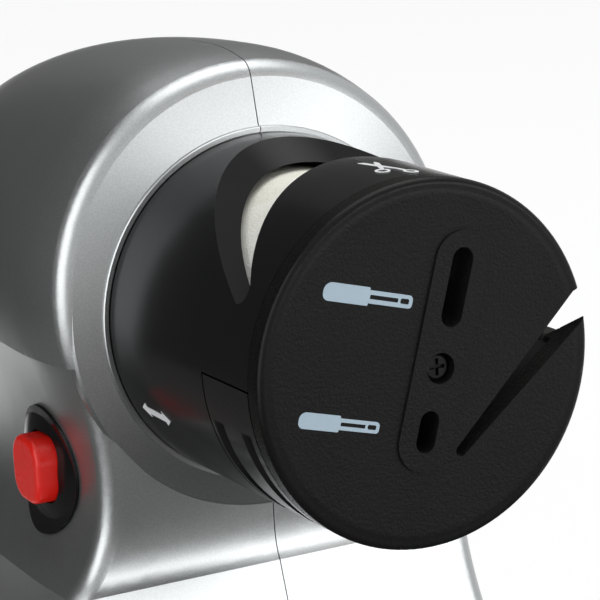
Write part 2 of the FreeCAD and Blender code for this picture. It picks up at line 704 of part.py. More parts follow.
def felt_ring():
    """The felt ring that keeps grinding dust out of the bush."""
    rear = S["bracket_front"] - S["seat_gap"]
    return turned("felt_ring", [
        (rear - S["felt_thickness"], S["bush_radius"] + S["seat_gap"]),
        (rear - S["felt_thickness"], S["felt_radius"]),
        (rear, S["felt_radius"]), (rear, S["bush_radius"] + S["seat_gap"])])


def motor_can():
    """The steel can of the motor, with its bearing boss and two flats."""
    front = motor_front()
    rear = front + S["motor_length"]
    edge = 1.2
    body = turned("motor_can", [
        (front, S["shaft_radius"] + 0.5), (front, S["motor_radius"] - edge),
        (front + edge, S["motor_radius"]), (rear, S["motor_radius"]),
        (rear, as_size(0.0)), (front + 3, as_size(0.0)), (front + 3, S["shaft_radius"] + 0.5)])
    for name, side in (("upper_flat", 1), ("lower_flat", -1)):
        sketch = new_sketch(body, name, "YZ_Plane")
        near = S["motor_radius"] * 0.86 * side
        far = S["motor_radius"] * 1.2 * side
        low, high = (near, far) if side > 0 else (far, near)
        rectangle(sketch, front + 4, rear - 3, low, high)
        pocket(body, f"{name}_cut", sketch, S["motor_radius"] * 2.2, Midplane=True)
    for name, side in (("left_thread", -1), ("right_thread", 1)):
        sketch = new_sketch(body, name, "XZ_Plane", -(front - 0.5))
        ring(sketch, S["motor_screw_spacing"] * side, 0, S["screw_radius"])
        pocket(body, f"{name}_cut", sketch, as_size(4.0))
    return body


def motor_cap():
    """The plastic end cap of the motor, with its two terminals."""
    front = motor_front() + S["motor_length"] + S["seat_gap"] / 2
    rear = front + S["motor_cap_length"]
    body = turned("motor_cap", [
        (front, as_size(0.0)), (front, S["motor_radius"] - 1), (rear - 0.6, S["motor_radius"] - 1),
        (rear, S["motor_radius"] - 1.6), (rear, S["motor_boss_radius"]),
        (rear + 1.5, S["motor_boss_radius"]), (rear + 1.5, as_size(0.0))])
    for name, side in (("left_terminal", -1), ("right_terminal", 1)):
        sketch = new_sketch(body, name, "XZ_Plane", -(rear - 0.5))
        middle = S["motor_screw_spacing"] * side
        rectangle(sketch, middle - 1.4, middle + 1.4, as_size(-0.3), as_size(0.3))
        pad(body, f"{name}_pad", sketch, as_size(4.5), Reversed=True)
    return body


# Body shells

def ellipse_points(half, reach, mid, start, stop, count=7, fullness=2.0):
    """Points on x = half cos, y = mid + reach sin, between two angles in radians. A fullness
    above 2 fills out the curve between its ends."""
    power = 2.0 / fullness
    points = []
    for k in range(count):
        turn = start + (stop - start) * k / (count - 1)
        side, along = math.cos(turn), math.sin(turn)
        points.append((half * max(side, 0.0) ** power, mid + math.copysign(reach * abs(along) ** power, along)))
    return points


def corner_contact(front, half, mid, reach, corner):
    """Where a round corner meets the side's ellipse, and the corner's centre."""
    low, high = 0.0, -math.pi / 2

    def centre_at(turn):
        x, y = half * math.cos(turn), mid + reach * math.sin(turn)
        out = Vector(x / half ** 2, (y - mid) / reach ** 2, 0).normalize()
        return x - corner * out.x, y - corner * out.y

    for _ in range(60):
        turn = (low + high) / 2
        if centre_at(turn)[1] > front + corner:
            low = turn
        else:
            high = turn
    return turn, centre_at(turn)


def half_section(level, inset=0.0):
    """Left half of one horizontal outline of the waist or base, closed on the middle plane.
    level is (z, front, half width, widest place, front reach, rear, fullness of the rear)."""
    z, front, half, mid, reach, rear, fullness = level
    front, half, reach, rear = front + inset, half - inset, reach - inset, rear - inset
    corner = max(V["corner_round"] - inset, 0.6)
    turn, (cx, cy) = corner_contact(front, half, mid, reach, corner)
    touch = (half * math.cos(turn), mid + reach * math.sin(turn))
    bend = math.atan2(touch[1] - cy, touch[0] - cx)
    half_way = (bend - math.pi / 2) / 2
    knee = (cx + corner * math.cos(half_way), cy + corner * math.sin(half_way))

    def at(point):
        return Vector(-point[0], point[1], z)

    def curve(points):
        spline = Part.BSplineCurve()
        spline.interpolate([at(p) for p in points])
        return spline.toShape()

    return Part.Wire([
        Part.LineSegment(at((0, front)), at((cx, front))).toShape(),
        Part.Arc(at((cx, front)), at(knee), at(touch)).toShape(),
        curve(ellipse_points(half, reach, mid, turn, 0.0)),
        curve(ellipse_points(half, rear - mid, mid, 0.0, math.pi / 2, 13, fullness)[:-1] + [(0.0, rear)]),
        Part.LineSegment(at((0, rear)), at((0, front))).toShape()])


def levels():
    """Outlines of the waist and the base, from the crease down to the foot of the shells."""
    crease, waist, flare = -V["crease_below"], -V["waist_below"], -V["flare_below"]
    foot = V["shell_foot"] - V["axis_height"]
    length = V["overall_length"] - V["pad_height"]
    lip = V["plate_lip"]
    front = V["barrel_length"] + V["collar_rise"]
    mid = V["pod_widest"]
    tall = flare - foot
    spread = V["base_half_width"] - V["flare_half_width"]
    lean = V["base_front"] - (front - 2.1)

    def base(share, swell):
        return (flare - tall * share, front - 2.1 + lean * share,
                V["flare_half_width"] + spread * swell, mid + 8 * share, 66 + 16 * share,
                length - 6.5 + (6.5 - lip) * swell, 2.6 + 0.5 * swell)

    waist_part = [
        (crease, front - 1.2, V["crease_half_width"], mid, 42.0, length - 7.5, 2.0),
        (crease + (waist - crease) * 0.5, front - 1.2,
         V["waist_half_width"] + (V["crease_half_width"] - V["waist_half_width"]) * 0.24, mid, 52.0,
         length - 10.0, 2.05),
        (waist, front - 1.1, V["waist_half_width"], mid, 60.0, length - 11.5, 2.1),
        (waist + (flare - waist) * 0.55, front - 0.75,
         V["waist_half_width"] + (V["flare_half_width"] - V["waist_half_width"]) * 0.2, mid, 62.0,
         length - 10.0, 2.35),
        base(0.0, 0.0)]
    base_part = [base(0.0, 0.0), base(0.3, 0.13), base(0.65, 0.58), base(1.0, 1.0)]
    return waist_part, base_part


def pod(inset):
    """The rounded head: half an ellipse turned about an axis just above the barrel's."""
    radius = V["pod_radius"] - inset
    mid = V["pod_widest"]
    front_reach = V["pod_front_reach"] - inset
    rear_reach = V["pod_rear_reach"] - inset
    up = V["pod_centre_up"]

    def quarter(reach, sign):
        major, minor = Vector(0, mid + sign * reach, up), Vector(0, mid, up + radius)
        ellipse = Part.Ellipse(major, minor, Vector(0, mid, up))
        return Part.ArcOfEllipse(ellipse, 0, math.pi / 2).toShape()

    front_curve, rear_curve = quarter(front_reach, -1), quarter(rear_reach, 1)
    axis = Part.LineSegment(Vector(0, mid - front_reach, up), Vector(0, mid + rear_reach, up)).toShape()
    face = Part.Face(Part.Wire(Part.__sortEdges__([front_curve, rear_curve, axis])))
    return face.revolve(Vector(0, mid, up), Vector(0, 1, 0), 360)


def front_space(distance):
    """Everything in front of the sloping front face, which falls back away from the collar."""
    far = V["pod_radius"] * 1.6
    seat = V["barrel_rear_radius"]
    at_far = distance + V["front_slope"] * (far - seat)
    face = Part.Face(Part.makePolygon([
        Vector(0, -10, 0), Vector(0, distance, 0), Vector(0, distance, seat),
        Vector(0, at_far, far), Vector(0, -10, far), Vector(0, -10, 0)]))
    return face.revolve(Vector(0, 0, 0), Vector(0, 1, 0), 360)


def left_side():
    """All the space left of the middle plane."""
    big = V["overall_length"] * 2
    return Part.makeBox(big, 2 * big, 2 * big, Vector(-big, -big, -big))


HALVES = {}


def body_half(inset=0.0, open_foot=0.0):
    """Left half of the body as one solid. inset takes it inwards by an even wall."""
    if (inset, open_foot) not in HALVES:
        HALVES[(inset, open_foot)] = make_body_half(inset, open_foot)
    return HALVES[(inset, open_foot)].copy()


def make_body_half(inset, open_foot):
    """Head, waist and base joined into the left half of the body."""
    waist_levels, base_levels = levels()
    big = V["overall_length"]
    crease = -V["crease_below"] + (0.55 * inset if inset > 0 else 0.0)
    head = pod(inset)
    if inset > 0:
        head = head.cut(Part.makeBox(big, V["front_wall_inside"] + 10, 2 * big, Vector(-big / 2, -10, -big)))
    else:
        head = head.cut(front_space(V["barrel_length"] + V["seat_gap"] + inset))
        ridge = [edge for edge in head.Edges
                 if edge.BoundBox.YMax < V["pod_widest"] - 5 and edge.Length > V["pod_radius"]]
        head = head.makeFillet(V["pod_front_round"], ridge)
    head = head.common(Part.makeBox(2 * big, 2 * big, big, Vector(-big, -big, crease)))
    head = head.common(left_side())
    waist = Part.makeLoft([half_section(level, inset) for level in waist_levels], True, False)
    base = Part.makeLoft([half_section(level, inset) for level in base_levels], True, False)
    solid = head.fuse([waist, base])
    if inset > 0:
        top = Part.Face(half_section(waist_levels[0], inset))
        solid = solid.fuse(top.extrude(Vector(0, 0, V["crease_below"] - 1.0)))
        foot = Part.Face(half_section(base_levels[-1], inset))
        solid = solid.fuse(foot.extrude(Vector(0, 0, -open_foot)))
    return solid.removeSplitter()


def collar_half():
    """Left half of the collar: a thin lip round the barrel, its seat, and the face round it."""
    seat_at = V["barrel_length"] + V["seat_gap"]
    lip_at = seat_at - V["collar_reach"]
    inside = V["front_wall_inside"] - 0.5
    bore = V["spigot_radius"] + V["slide_clearance"]
    lip_in, lip_out, foot = V["collar_bore_radius"], V["collar_radius"], V["collar_foot_radius"]
    chamfer, edge = V["collar_foot_chamfer"], V["collar_edge"]

    def face_at(radius):
        return seat_at + V["front_slope"] * (radius - V["barrel_rear_radius"])

    corners = [
        (lip_at, lip_in), (lip_at, lip_out - edge), (lip_at + edge, lip_out), (face_at(lip_out), lip_out),
        (face_at(foot), foot), (face_at(foot) + chamfer, foot + chamfer), (inside, foot + chamfer),
        (inside, bore), (seat_at, bore), (seat_at, lip_in), (lip_at, lip_in)]
    profile = Part.Face(Part.makePolygon([Vector(0, back, radius) for back, radius in corners]))
    return profile.revolve(Vector(0, 0, 0), Vector(0, 1, 0), 360).common(left_side())


def mirrored(shape):
    """The same shape on the other side of the middle plane."""
    return shape.mirror(Vector(0, 0, 0), Vector(1, 0, 0))


def rod(x_low, x_high, y, z, radius):
    """A cylinder along X."""
    return Part.makeCylinder(radius, x_high - x_low, Vector(x_low, y, z), Vector(1, 0, 0))


def screw_places():
    """Shell screws: distance behind the front face and height above the axis."""
    foot = V["flare_below"] + 15.0
    return [(58.0, 25.5), (116.0, 12.0), (112.0, 3.0 - V["waist_below"]), (56.0, -foot), (138.0, -foot + 4)]


def bezel_centre(x):
    """The middle of the bezel's oval, which lies a little behind and below the button's."""
    return Vector(x, V["button_depth"] + V["bezel_back"], -V["button_below"] - V["bezel_down"])


def bezel_window(extra=0.0):
    """An elliptical bar through the shell round the button, leaning down towards the rear."""
    ellipse = Part.Ellipse(Vector(0, 0, 0), V["bezel_width"] / 2 + extra, V["bezel_height"] / 2 + extra)
    face = Part.Face(Part.Wire(ellipse.toShape()))
    bar = face.extrude(Vector(0, 0, V["base_half_width"] - 14))
    bar.rotate(Vector(0, 0, 0), Vector(0, 0, 1), 90 + V["bezel_lean"])
    bar.rotate(Vector(0, 0, 0), Vector(0, 1, 0), -90)
    bar.translate(bezel_centre(-14))
    return bar


def shells():
    """Both body shells, with collar, bosses, and the left one's window for the bezel."""
    outer = body_half()
    cavity = body_half(V["wall"], open_foot=5.0)
    bore = Part.makeCylinder(V["spigot_radius"] + V["slide_clearance"], 20,
                             Vector(0, V["barrel_length"] - 5, 0), Vector(0, 1, 0))
    gap = Part.makeBox(V["parting_gap"] * 2, 400, 400, Vector(-V["parting_gap"], -100, -200))
    half = outer.fuse(collar_half()).cut([cavity, bore])
    left, right = half, mirrored(half)
    outer_right = mirrored(outer)
    wide = V["base_half_width"]
    left_bosses, right_bosses, left_holes, right_holes = [], [], [], []
    for y, z in screw_places():
        left_bosses.append(rod(-wide, 0, y, z, V["boss_radius"]).common(outer))
        right_bosses.append(rod(0, wide, y, z, V["boss_radius"]).common(outer_right))
        left_holes.append(rod(-V["screw_bite"] - 2, 1, y, z, V["screw_radius"]))
        right_holes.append(rod(-1, wide, y, z, V["screw_radius"] + V["screw_clearance"]))
        right_holes.append(rod(V["screw_seat"], wide + 5, y, z, V["screw_head_radius"] + V["screw_clearance"]))
    left = left.fuse(left_bosses).cut(left_holes + [gap])
    right = right.fuse(right_bosses).cut(right_holes + [gap])
    left = left.cut(bezel_window(V["seat_gap"]))
    own_shape("left_shell", left)
    own_shape("right_shell", right)


def shell_screws():
    """The screws that join the shells, as separate solids."""
    solids = []
    for y, z in screw_places():
        seat = V["screw_seat"]
        head = rod(seat, seat + V["screw_head_height"], y, z, V["screw_head_radius"])
        shank = rod(-V["screw_bite"], seat, y, z, V["screw_radius"])
        slot = Part.makeBox(1.2, 0.7, V["screw_head_radius"] * 1.3,
                            Vector(seat + V["screw_head_height"] - 1, y - 0.35, z - V["screw_head_radius"] * 0.65))
        cross = slot.copy()
        cross.rotate(Vector(0, y, z), Vector(1, 0, 0), 90)
        solids.append(head.fuse(shank).cut([slot, cross]).removeSplitter())
    own_shape("shell_screws", Part.makeCompound(solids))


def full_body(inset):
    """Both halves of the body as one solid, taken in by inset."""
    half = body_half(inset, open_foot=5.0)
    return half.fuse(mirrored(half)).removeSplitter()


def motor_bracket():
    """The plate across the body that carries the bush and the motor."""
    front, thick = V["bracket_front"], V["bracket_thickness"]
    slab = Part.makeBox(200, thick, 200, Vector(-100, front, -V["bracket_bottom"]))
    plate = slab.common(full_body(V["wall"] + V["seat_gap"]))
    holes = [Part.makeCylinder(V["bush_radius"] + V["seat_gap"] / 4, 20, Vector(0, front - 5, 0), Vector(0, 1, 0))]
    for side in (-1, 1):
        holes.append(Part.makeCylinder(V["screw_radius"] + V["screw_clearance"], 20,
                                       Vector(side * V["motor_screw_spacing"], front - 5, 0), Vector(0, 1, 0)))
    own_shape("motor_bracket", plate.cut(holes))


def motor_screws():
    """The two screws that hold the motor to the bracket."""
    solids = []
    for side in (-1, 1):
        x = side * V["motor_screw_spacing"]
        seat = V["bracket_front"]
        head = Part.makeCylinder(V["screw_head_radius"] * 0.8, 1.4, Vector(x, seat - 1.4, 0), Vector(0, 1, 0))
        shank = Part.makeCylinder(V["screw_radius"] * 0.93, V["bracket_thickness"] + 3.0, Vector(x, seat, 0),
                                  Vector(0, 1, 0))
        solids.append(head.fuse(shank).removeSplitter())
    own_shape("motor_screws", Part.makeCompound(solids))


# Button and switch

def button_bezel():
    """The black oval bezel, which follows the waist's hollow and bulges round the button."""
    dome = Part.makeSphere(V["bezel_dome_radius"], bezel_centre(V["bezel_dome_radius"] - V["bezel_dome_top"]))
    skin = body_half(-V["bezel_rise"])
    inner = body_half(V["wall"] * 0.95, open_foot=5.0)
    bezel = bezel_window().common(skin).fuse(bezel_window().common(dome)).cut(inner).removeSplitter()
    opening_y = V["button_width"] / 2 + V["button_gap"]
    opening_z = V["button_height"] / 2 + V["button_gap"]
    hole = Part.makeBox(60, 2 * opening_y, 2 * opening_z,
                        Vector(-60, V["button_depth"] - opening_y, -V["button_below"] - opening_z))
    lengthwise = [edge for edge in hole.Edges if abs(edge.Length - 60) < 0.1]
    hole = hole.makeFillet(V["button_corner"] + V["button_gap"], lengthwise)
    own_shape("button_bezel", bezel.cut(hole))


def button_cap():
    """The red push button: cap, stop flange behind the bezel, and stem."""
    y, z = S["button_depth"], -S["button_below"]
    body = new_body("button_cap")
    flange = new_sketch(body, "flange_outline", "YZ_Plane", -S["flange_face"])
    margin = S["flange_margin"]
    round_rectangle(flange, y, z, S["button_width"] / 2 + margin, S["button_height"] / 2 + margin,
                    S["button_corner"] + 0.5)
    pad(body, "flange_pad", flange, S["flange_thickness"])
    cap = new_sketch(body, "cap_outline", "YZ_Plane", -S["button_face"])
    round_rectangle(cap, y, z, S["button_width"] / 2, S["button_height"] / 2, S["button_corner"])
    pad(body, "cap_pad", cap, S["button_face"] - S["flange_face"] + 0.2)
    stem = new_sketch(body, "stem_outline", "YZ_Plane", -S["flange_face"])
    ring(stem, y, z, S["stem_radius"])
    pad(body, "stem_pad", stem, S["flange_face"] - S["switch_face"] - S["plunger_length"] - S["seat_gap"])
    edge_round(body, "cap_round", lambda e: e.BoundBox.XMax < -V["button_face"] + 0.01, S["button_edge_round"])
    return body


def switch_plunger():
    """The switch's own plunger, which the stem pushes."""
    body = new_body("switch_plunger")
    sketch = new_sketch(body, "plunger_outline", "YZ_Plane", -S["switch_face"] - S["plunger_length"])
    ring(sketch, S["button_depth"], -S["button_below"], S["plunger_radius"])
    pad(body, "plunger_pad", sketch, S["plunger_length"] + S["plunger_root"])
    return body


def switch_body():
    """The push switch behind the button."""
    y, z = S["button_depth"], -S["button_below"]
    half = S["switch_side"] / 2
    body = new_body("switch_body")
    sketch = new_sketch(body, "switch_outline", "YZ_Plane", -S["switch_face"])
    round_rectangle(sketch, y, z, half, half, as_size(0.8))
    ring(sketch, y, z, S["plunger_radius"] + S["seat_gap"] * 1.5)
    well = S["plunger_root"] + S["button_travel"] + 0.4
    pad(body, "switch_pad", sketch, well)
    back = new_sketch(body, "back_outline", "YZ_Plane", well - S["switch_face"] - 0.2)
    round_rectangle(back, y, z, half, half, as_size(0.8))
    pad(body, "back_pad", back, S["switch_depth"] - well + 0.2)
    return body


def switch_carrier():
    """The plate that holds the switch, on two legs from the left shell's wall."""
    y, z = V["button_depth"], -V["button_below"]
    near = -V["switch_face"] + V["switch_depth"]
    half = V["switch_side"] / 2
    leg = 2.2
    solids = [Part.makeBox(V["carrier_thickness"], 2 * half + 9, 2 * half, Vector(near, y - half - 4.5, z - half))]
    inner = body_half(V["wall"] + V["seat_gap"], open_foot=5.0)
    for side in (-1, 1):
        mid = y + side * (half + 4.5 - leg / 2)
        post = Part.makeBox(60, leg, 8.0, Vector(near + V["carrier_thickness"] - 60, mid - leg / 2, z - 4.0))
        solids.append(post.common(inner))
    own_shape("switch_carrier", solids[0].fuse(solids[1:]).removeSplitter())


def coil(radius, wire, height, turns):
    """A spring along +Z from the origin: one round tube along arcs of a quarter turn."""
    def point(turn):
        angle = 2 * math.pi * turn
        return Vector(radius * math.cos(angle), radius * math.sin(angle), height * turn / turns)

    arcs = [Part.Arc(point(k / 4), point((k + 0.5) / 4), point((k + 1) / 4)).toShape()
            for k in range(round(turns * 4))]
    tangent = arcs[0].tangentAt(arcs[0].FirstParameter)
    section = Part.Wire(Part.makeCircle(wire / 2, point(0), tangent))
    return Part.Wire(arcs).makePipeShell([section], True, False)


def button_spring():
    """The return spring between the stop flange and the switch."""
    low = -V["flange_face"] + V["flange_thickness"] + V["spring_wire"] / 2 + V["seat_gap"]
    high = -V["switch_face"] - V["spring_wire"] / 2 - V["seat_gap"]
    spring = coil(V["spring_coil_radius"], V["spring_wire"], high - low, V["spring_turns"])
    spring.rotate(Vector(0, 0, 0), Vector(0, 1, 0), 90)
    spring.translate(Vector(low, V["button_depth"], -V["button_below"]))
    own_shape("button_spring", spring)


# Base, battery bay and feet. Heights here are above the table.

def foot_outline(inset, z_low, height):
    """The shells' foot outline, taken in by inset, as a slab."""
    bottom = levels()[1][-1]
    half = Part.Face(half_section((z_low,) + bottom[1:], inset)).extrude(Vector(0, 0, height))
    return half.fuse(mirrored(half)).removeSplitter()


def base_screw_places():
    return [(-25.0, 56.0), (25.0, 56.0), (-21.0, 136.0), (21.0, 136.0)]


def foot_places():
    return [(-29.0, 49.0), (29.0, 49.0), (-27.0, 129.0), (27.0, 129.0)]


def base_plate():
    """The black plate under the shells, with its rim, battery bay and screw bosses."""
    bottom = V["plate_bottom"]
    top = V["shell_foot"] - V["seat_gap"]
    lip = V["plate_lip"]
    skirt = foot_outline(-lip, bottom, top - bottom)
    low_edge = [edge for edge in skirt.Edges if edge.BoundBox.ZMax < bottom + 0.01]
    skirt = skirt.makeChamfer(1.0, low_edge)
    rim = full_body(V["wall"] + V["seat_gap"])
    rim.translate(Vector(0, 0, V["axis_height"]))
    rim = rim.common(Part.makeBox(400, 400, top - bottom + V["plate_rim_height"], Vector(-200, -100, bottom + 1.5)))
    hollow = full_body(V["wall"] + V["plate_rim_wall"])
    hollow.translate(Vector(0, 0, V["axis_height"]))
    hollow = hollow.cut(Part.makeBox(400, 400, 100, Vector(-200, -100, bottom + V["plate_floor"] - 100)))
    plate = skirt.fuse(rim).cut(hollow)
    wall = V["bay_wall"]
    low_x, low_y = -V["bay_width"] / 2, V["bay_front"]
    bay_out = Part.makeBox(V["bay_width"] + 2 * wall, V["bay_length"] + 2 * wall, V["bay_height"] + wall,
                           Vector(low_x - wall, low_y - wall, bottom))
    bay_in = Part.makeBox(V["bay_width"], V["bay_length"], V["bay_height"] + 1,
                          Vector(low_x, low_y, bottom - 1))
    bosses, holes = [], []
    for x, y in base_screw_places():
        bosses.append(Part.makeCylinder(V["boss_radius"] * 0.8, 8, Vector(x, y, bottom)))
        holes.append(Part.makeCylinder(V["screw_head_radius"] + 0.2, 2.2, Vector(x, y, bottom - 0.2)))
        holes.append(Part.makeCylinder(V["screw_radius"] + 0.1, 20, Vector(x, y, bottom - 1)))
    pin_y = low_y + V["bay_length"] - V["door_thickness"] / 2 - V["door_gap"]
    pin_z = bottom + V["door_thickness"] / 2 + 0.1
    reach = V["bay_width"] / 2 + V["door_pin_reach"]
    pins = rod(-reach, reach, pin_y, pin_z, V["door_pin_radius"] + V["running_clearance"])
    plate = plate.fuse([bay_out] + bosses).cut([bay_in, pins] + holes)
    own_shape("base_plate", plate.removeSplitter(), head_frame=False)


def base_screws():
    """The screws under the base plate."""
    solids = []
    bottom = V["plate_bottom"]
    for x, y in base_screw_places():
        head = Part.makeCylinder(V["screw_head_radius"], 1.6, Vector(x, y, bottom + 0.4))
        shank = Part.makeCylinder(V["screw_radius"], 9, Vector(x, y, bottom + 2.0))
        slot = Part.makeBox(V["screw_head_radius"] * 1.3, 0.7, 1.0,
                            Vector(x - V["screw_head_radius"] * 0.65, y - 0.35, bottom))
        cross = slot.copy()
        cross.rotate(Vector(x, y, 0), Vector(0, 0, 1), 90)
        solids.append(head.fuse(shank).cut([slot, cross]).removeSplitter())
    own_shape("base_screws", Part.makeCompound(solids), head_frame=False)


def rubber_feet():
    """Four rubber feet under the base plate."""
    solids = []
    for x, y in foot_places():
        foot = Part.makeCylinder(V["foot_radius"], V["plate_bottom"], Vector(x, y, 0))
        rim = [edge for edge in foot.Edges if edge.BoundBox.ZMax < 0.01]
        solids.append(foot.makeFillet(0.5, rim))
    own_shape("rubber_feet", Part.makeCompound(solids), head_frame=False)


def battery_door():
    """The door under the battery bay, on pins at its back edge, with a tongue at its front."""
    gap = V["door_gap"]
    thick = V["door_thickness"]
    bottom = V["plate_bottom"] + 0.1
    low_y = V["bay_front"] + gap
    high_y = V["bay_front"] + V["bay_length"] - gap - thick / 2
    half = V["bay_width"] / 2 - gap
    door = Part.makeBox(2 * half, high_y - low_y, thick, Vector(-half, low_y, bottom))
    knuckle = rod(-half, half, high_y, bottom + thick / 2, thick / 2)
    reach = V["bay_width"] / 2 + V["door_pin_reach"] - 0.3
    pins = rod(-reach, reach, high_y, bottom + thick / 2, V["door_pin_radius"])
    tongue = Part.makeBox(V["latch_width"], 1.2, 2.1,
                          Vector(-V["latch_width"] / 2, low_y + 0.2, bottom + thick - 0.2))
    grips = []
    for k in range(4):
        grips.append(Part.makeBox(V["latch_width"], 0.8, 0.5,
                                  Vector(-V["latch_width"] / 2, low_y + 4 + 2 * k, bottom - 0.1)))
    door = door.fuse([knuckle, pins, tongue]).cut(grips)
    own_shape("battery_door", door.removeSplitter(), head_frame=False)


def cell_places():
    """X of each of the four cells."""
    return [V["cell_pitch"] * (k - 1.5) for k in range(4)]


def cell_height():
    return V["plate_bottom"] + V["door_thickness"] + 0.5 + V["cell_radius"]


def cell_start():
    """Front end of the cells' space, behind the front contacts."""
    return V["bay_front"] + V["contact_thickness"] + 0.3


def battery_cells():
    """Four cells, side by side, alternate ones turned round."""
    solids = []
    for k, x in enumerate(cell_places()):
        length, tip = V["cell_length"], V["cell_tip_length"]
        can = Part.makeCylinder(V["cell_radius"], length)
        rim = [edge for edge in can.Edges if abs(edge.BoundBox.ZLength) < 0.01]
        can = can.makeFillet(0.7, rim)
        cell = can.fuse(Part.makeCylinder(V["cell_tip_radius"], tip + 1, Vector(0, 0, length - 1)))
        if k % 2:
            cell.rotate(Vector(0, 0, 0), Vector(1, 0, 0), 90)
            cell.translate(Vector(x, cell_start() + length + tip, cell_height()))
        else:
            cell.rotate(Vector(0, 0, 0), Vector(1, 0, 0), -90)
            room = V["bay_length"] - 2 * (V["contact_thickness"] + 0.3)
            cell.translate(Vector(x, cell_start() + room - length - tip, cell_height()))
        solids.append(cell.removeSplitter())
    own_shape("battery_cells", Part.makeCompound(solids), head_frame=False)


def contact_plates():
    """The metal plates at both ends of the bay."""
    solids = []
    z = cell_height()
    side = 11.0
    for end in (0, 1):
        y = V["bay_front"] + 0.1 if end == 0 else V["bay_front"] + V["bay_length"] - 0.1 - V["contact_thickness"]
        groups = ((0,), (1, 2), (3,)) if end == 0 else ((0, 1), (2, 3))
        for group in groups:
            low = cell_places()[group[0]] - side / 2
            high = cell_places()[group[-1]] + side / 2
            solids.append(Part.makeBox(high - low, V["contact_thickness"], side, Vector(low, y, z - side / 2)))
    own_shape("contact_plates", Part.makeCompound(solids), head_frame=False)


def contact_springs():
    """A spring behind the flat end of each cell."""
    solids = []
    room = V["bay_length"] - 2 * (V["contact_thickness"] + 0.1)
    space = room - V["cell_length"] - V["cell_tip_length"] - 0.2
    height = space - V["contact_wire"] - 0.3
    for k, x in enumerate(cell_places()):
        spring = coil(V["contact_coil_radius"], V["contact_wire"], height, V["contact_turns"])
        start = V["bay_front"] + V["contact_thickness"] + 0.1 + V["contact_wire"] / 2 + 0.15
        if k % 2:
            spring.rotate(Vector(0, 0, 0), Vector(1, 0, 0), 90)
            start = 2 * V["bay_front"] + V["bay_length"] - start
        else:
            spring.rotate(Vector(0, 0, 0), Vector(1, 0, 0), -90)
        spring.translate(Vector(x, start, cell_height()))
        solids.append(spring)
    own_shape("contact_springs", Part.makeCompound(solids), head_frame=False)


def lead(points):
    """A wire through points, with round bends."""
    corners = [Vector(*p) for p in points]
    edges = []
    start = corners[0]
    for before, here, after in zip(corners, corners[1:], corners[2:]):
        a = before.sub(here)
        b = after.sub(here)
        angle = a.getAngle(b)
        run = min(a.Length, b.Length) * 0.42
        into = here.add(a.normalize().multiply(run))
        out = here.add(b.normalize().multiply(run))
        radius = run * math.tan(angle / 2)
        bisector = a.add(b).normalize()
        centre = here.add(bisector.multiply(radius / math.sin(angle / 2)))
        middle = centre.add(here.sub(centre).normalize().multiply(radius))
        edges.append(Part.LineSegment(start, into).toShape())
        edges.append(Part.Arc(into, middle, out).toShape())
        start = out
    edges.append(Part.LineSegment(start, corners[-1]).toShape())
    path = Part.Wire(edges)
    section = Part.Wire(Part.makeCircle(V["lead_radius"], corners[0], corners[1].sub(corners[0])))
    return path.makePipeShell([section], True, False)


def leads():
    """The wires: cells to switch, switch to motor, motor to cells. Head-frame places."""
    table = -V["axis_height"]
    roof = table + V["plate_bottom"] + V["bay_height"] + V["bay_wall"]
    motor_back = V["bracket_front"] + V["bracket_thickness"] + V["motor_length"] + V["motor_cap_length"]
    y_front = V["bay_front"] + 4.0
    carrier = -V["switch_face"] + V["switch_depth"] + V["carrier_thickness"]
    z = -V["button_below"]
    y = V["button_depth"]
    wires = [
        lead([(-22.0, y_front, roof), (-22.0, y_front, roof + 9), (-8.0, y_front - 3, z - 14),
              (-5.0, y - 2, z - 3), (carrier + 0.05, y - 2, z - 3)]),
        lead([(carrier + 0.05, y + 3, z + 3), (-4.0, y + 3, z + 3), (-1.0, y + 16, z + 3),
              (-8.0, motor_back + 10, -12.0), (-8.0, motor_back + 9, 0.0),
              (-8.0, motor_back + 4.3, 0.0)]),
        lead([(22.0, y_front, roof), (22.0, y_front, roof + 12), (18.0, y_front + 24, z - 6),
              (8.0, motor_back + 10, -14.0), (8.0, motor_back + 9, 0.0),
              (8.0, motor_back + 4.3, 0.0)])]
    own_shape("leads", Part.makeCompound(wires))


def check_and_write():
    """Refuse a failed or invalid piece, then write each one to its own file."""
    doc.recompute()
    for obj in doc.Objects:
        if "Invalid" in obj.State or "Error" in obj.State:
            raise RuntimeError(f"{obj.Name} failed: {obj.State}")
    os.makedirs("parts", exist_ok=True)
    for piece in PARTS:
        shape = piece.Shape
        if shape.isNull() or not shape.isValid():
            raise RuntimeError(f"{piece.Label} has no valid shape")
        print(f"{piece.Label:18s} solids {len(shape.Solids)} volume {shape.Volume:10.1f}")
    for piece in PARTS:
        piece.Shape.exportStep(f"parts/{piece.Label}.step")


head_barrel()
face_plate()
slot_guide()
face_screw()
dust_cup()
grinding_drum()
drum_hub()
drum_washer()
drum_nut()
motor_shaft()
shaft_bush()
felt_ring()
motor_can()
motor_cap()
motor_bracket()
motor_screws()
shells()
shell_screws()
button_bezel()
button_cap()
button_spring()
switch_plunger()
switch_body()
switch_carrier()
base_plate()
base_screws()
rubber_feet()
battery_door()
battery_cells()
contact_plates()
contact_springs()
leads()
check_and_write()
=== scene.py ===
"""Looks of the cordless knife sharpener: finishes for its pieces, printed marks, floor, cards,
lights and camera. Everything is in metres, in the model's own frame: +X to the right of
someone facing the sharpening head, +Y towards the back, +Z up, the table at z = 0."""

import logging
import math
from dataclasses import dataclass
from enum import Enum
from typing import Callable, Sequence, Union

import bmesh
import bpy
from mathutils import Matrix, Vector


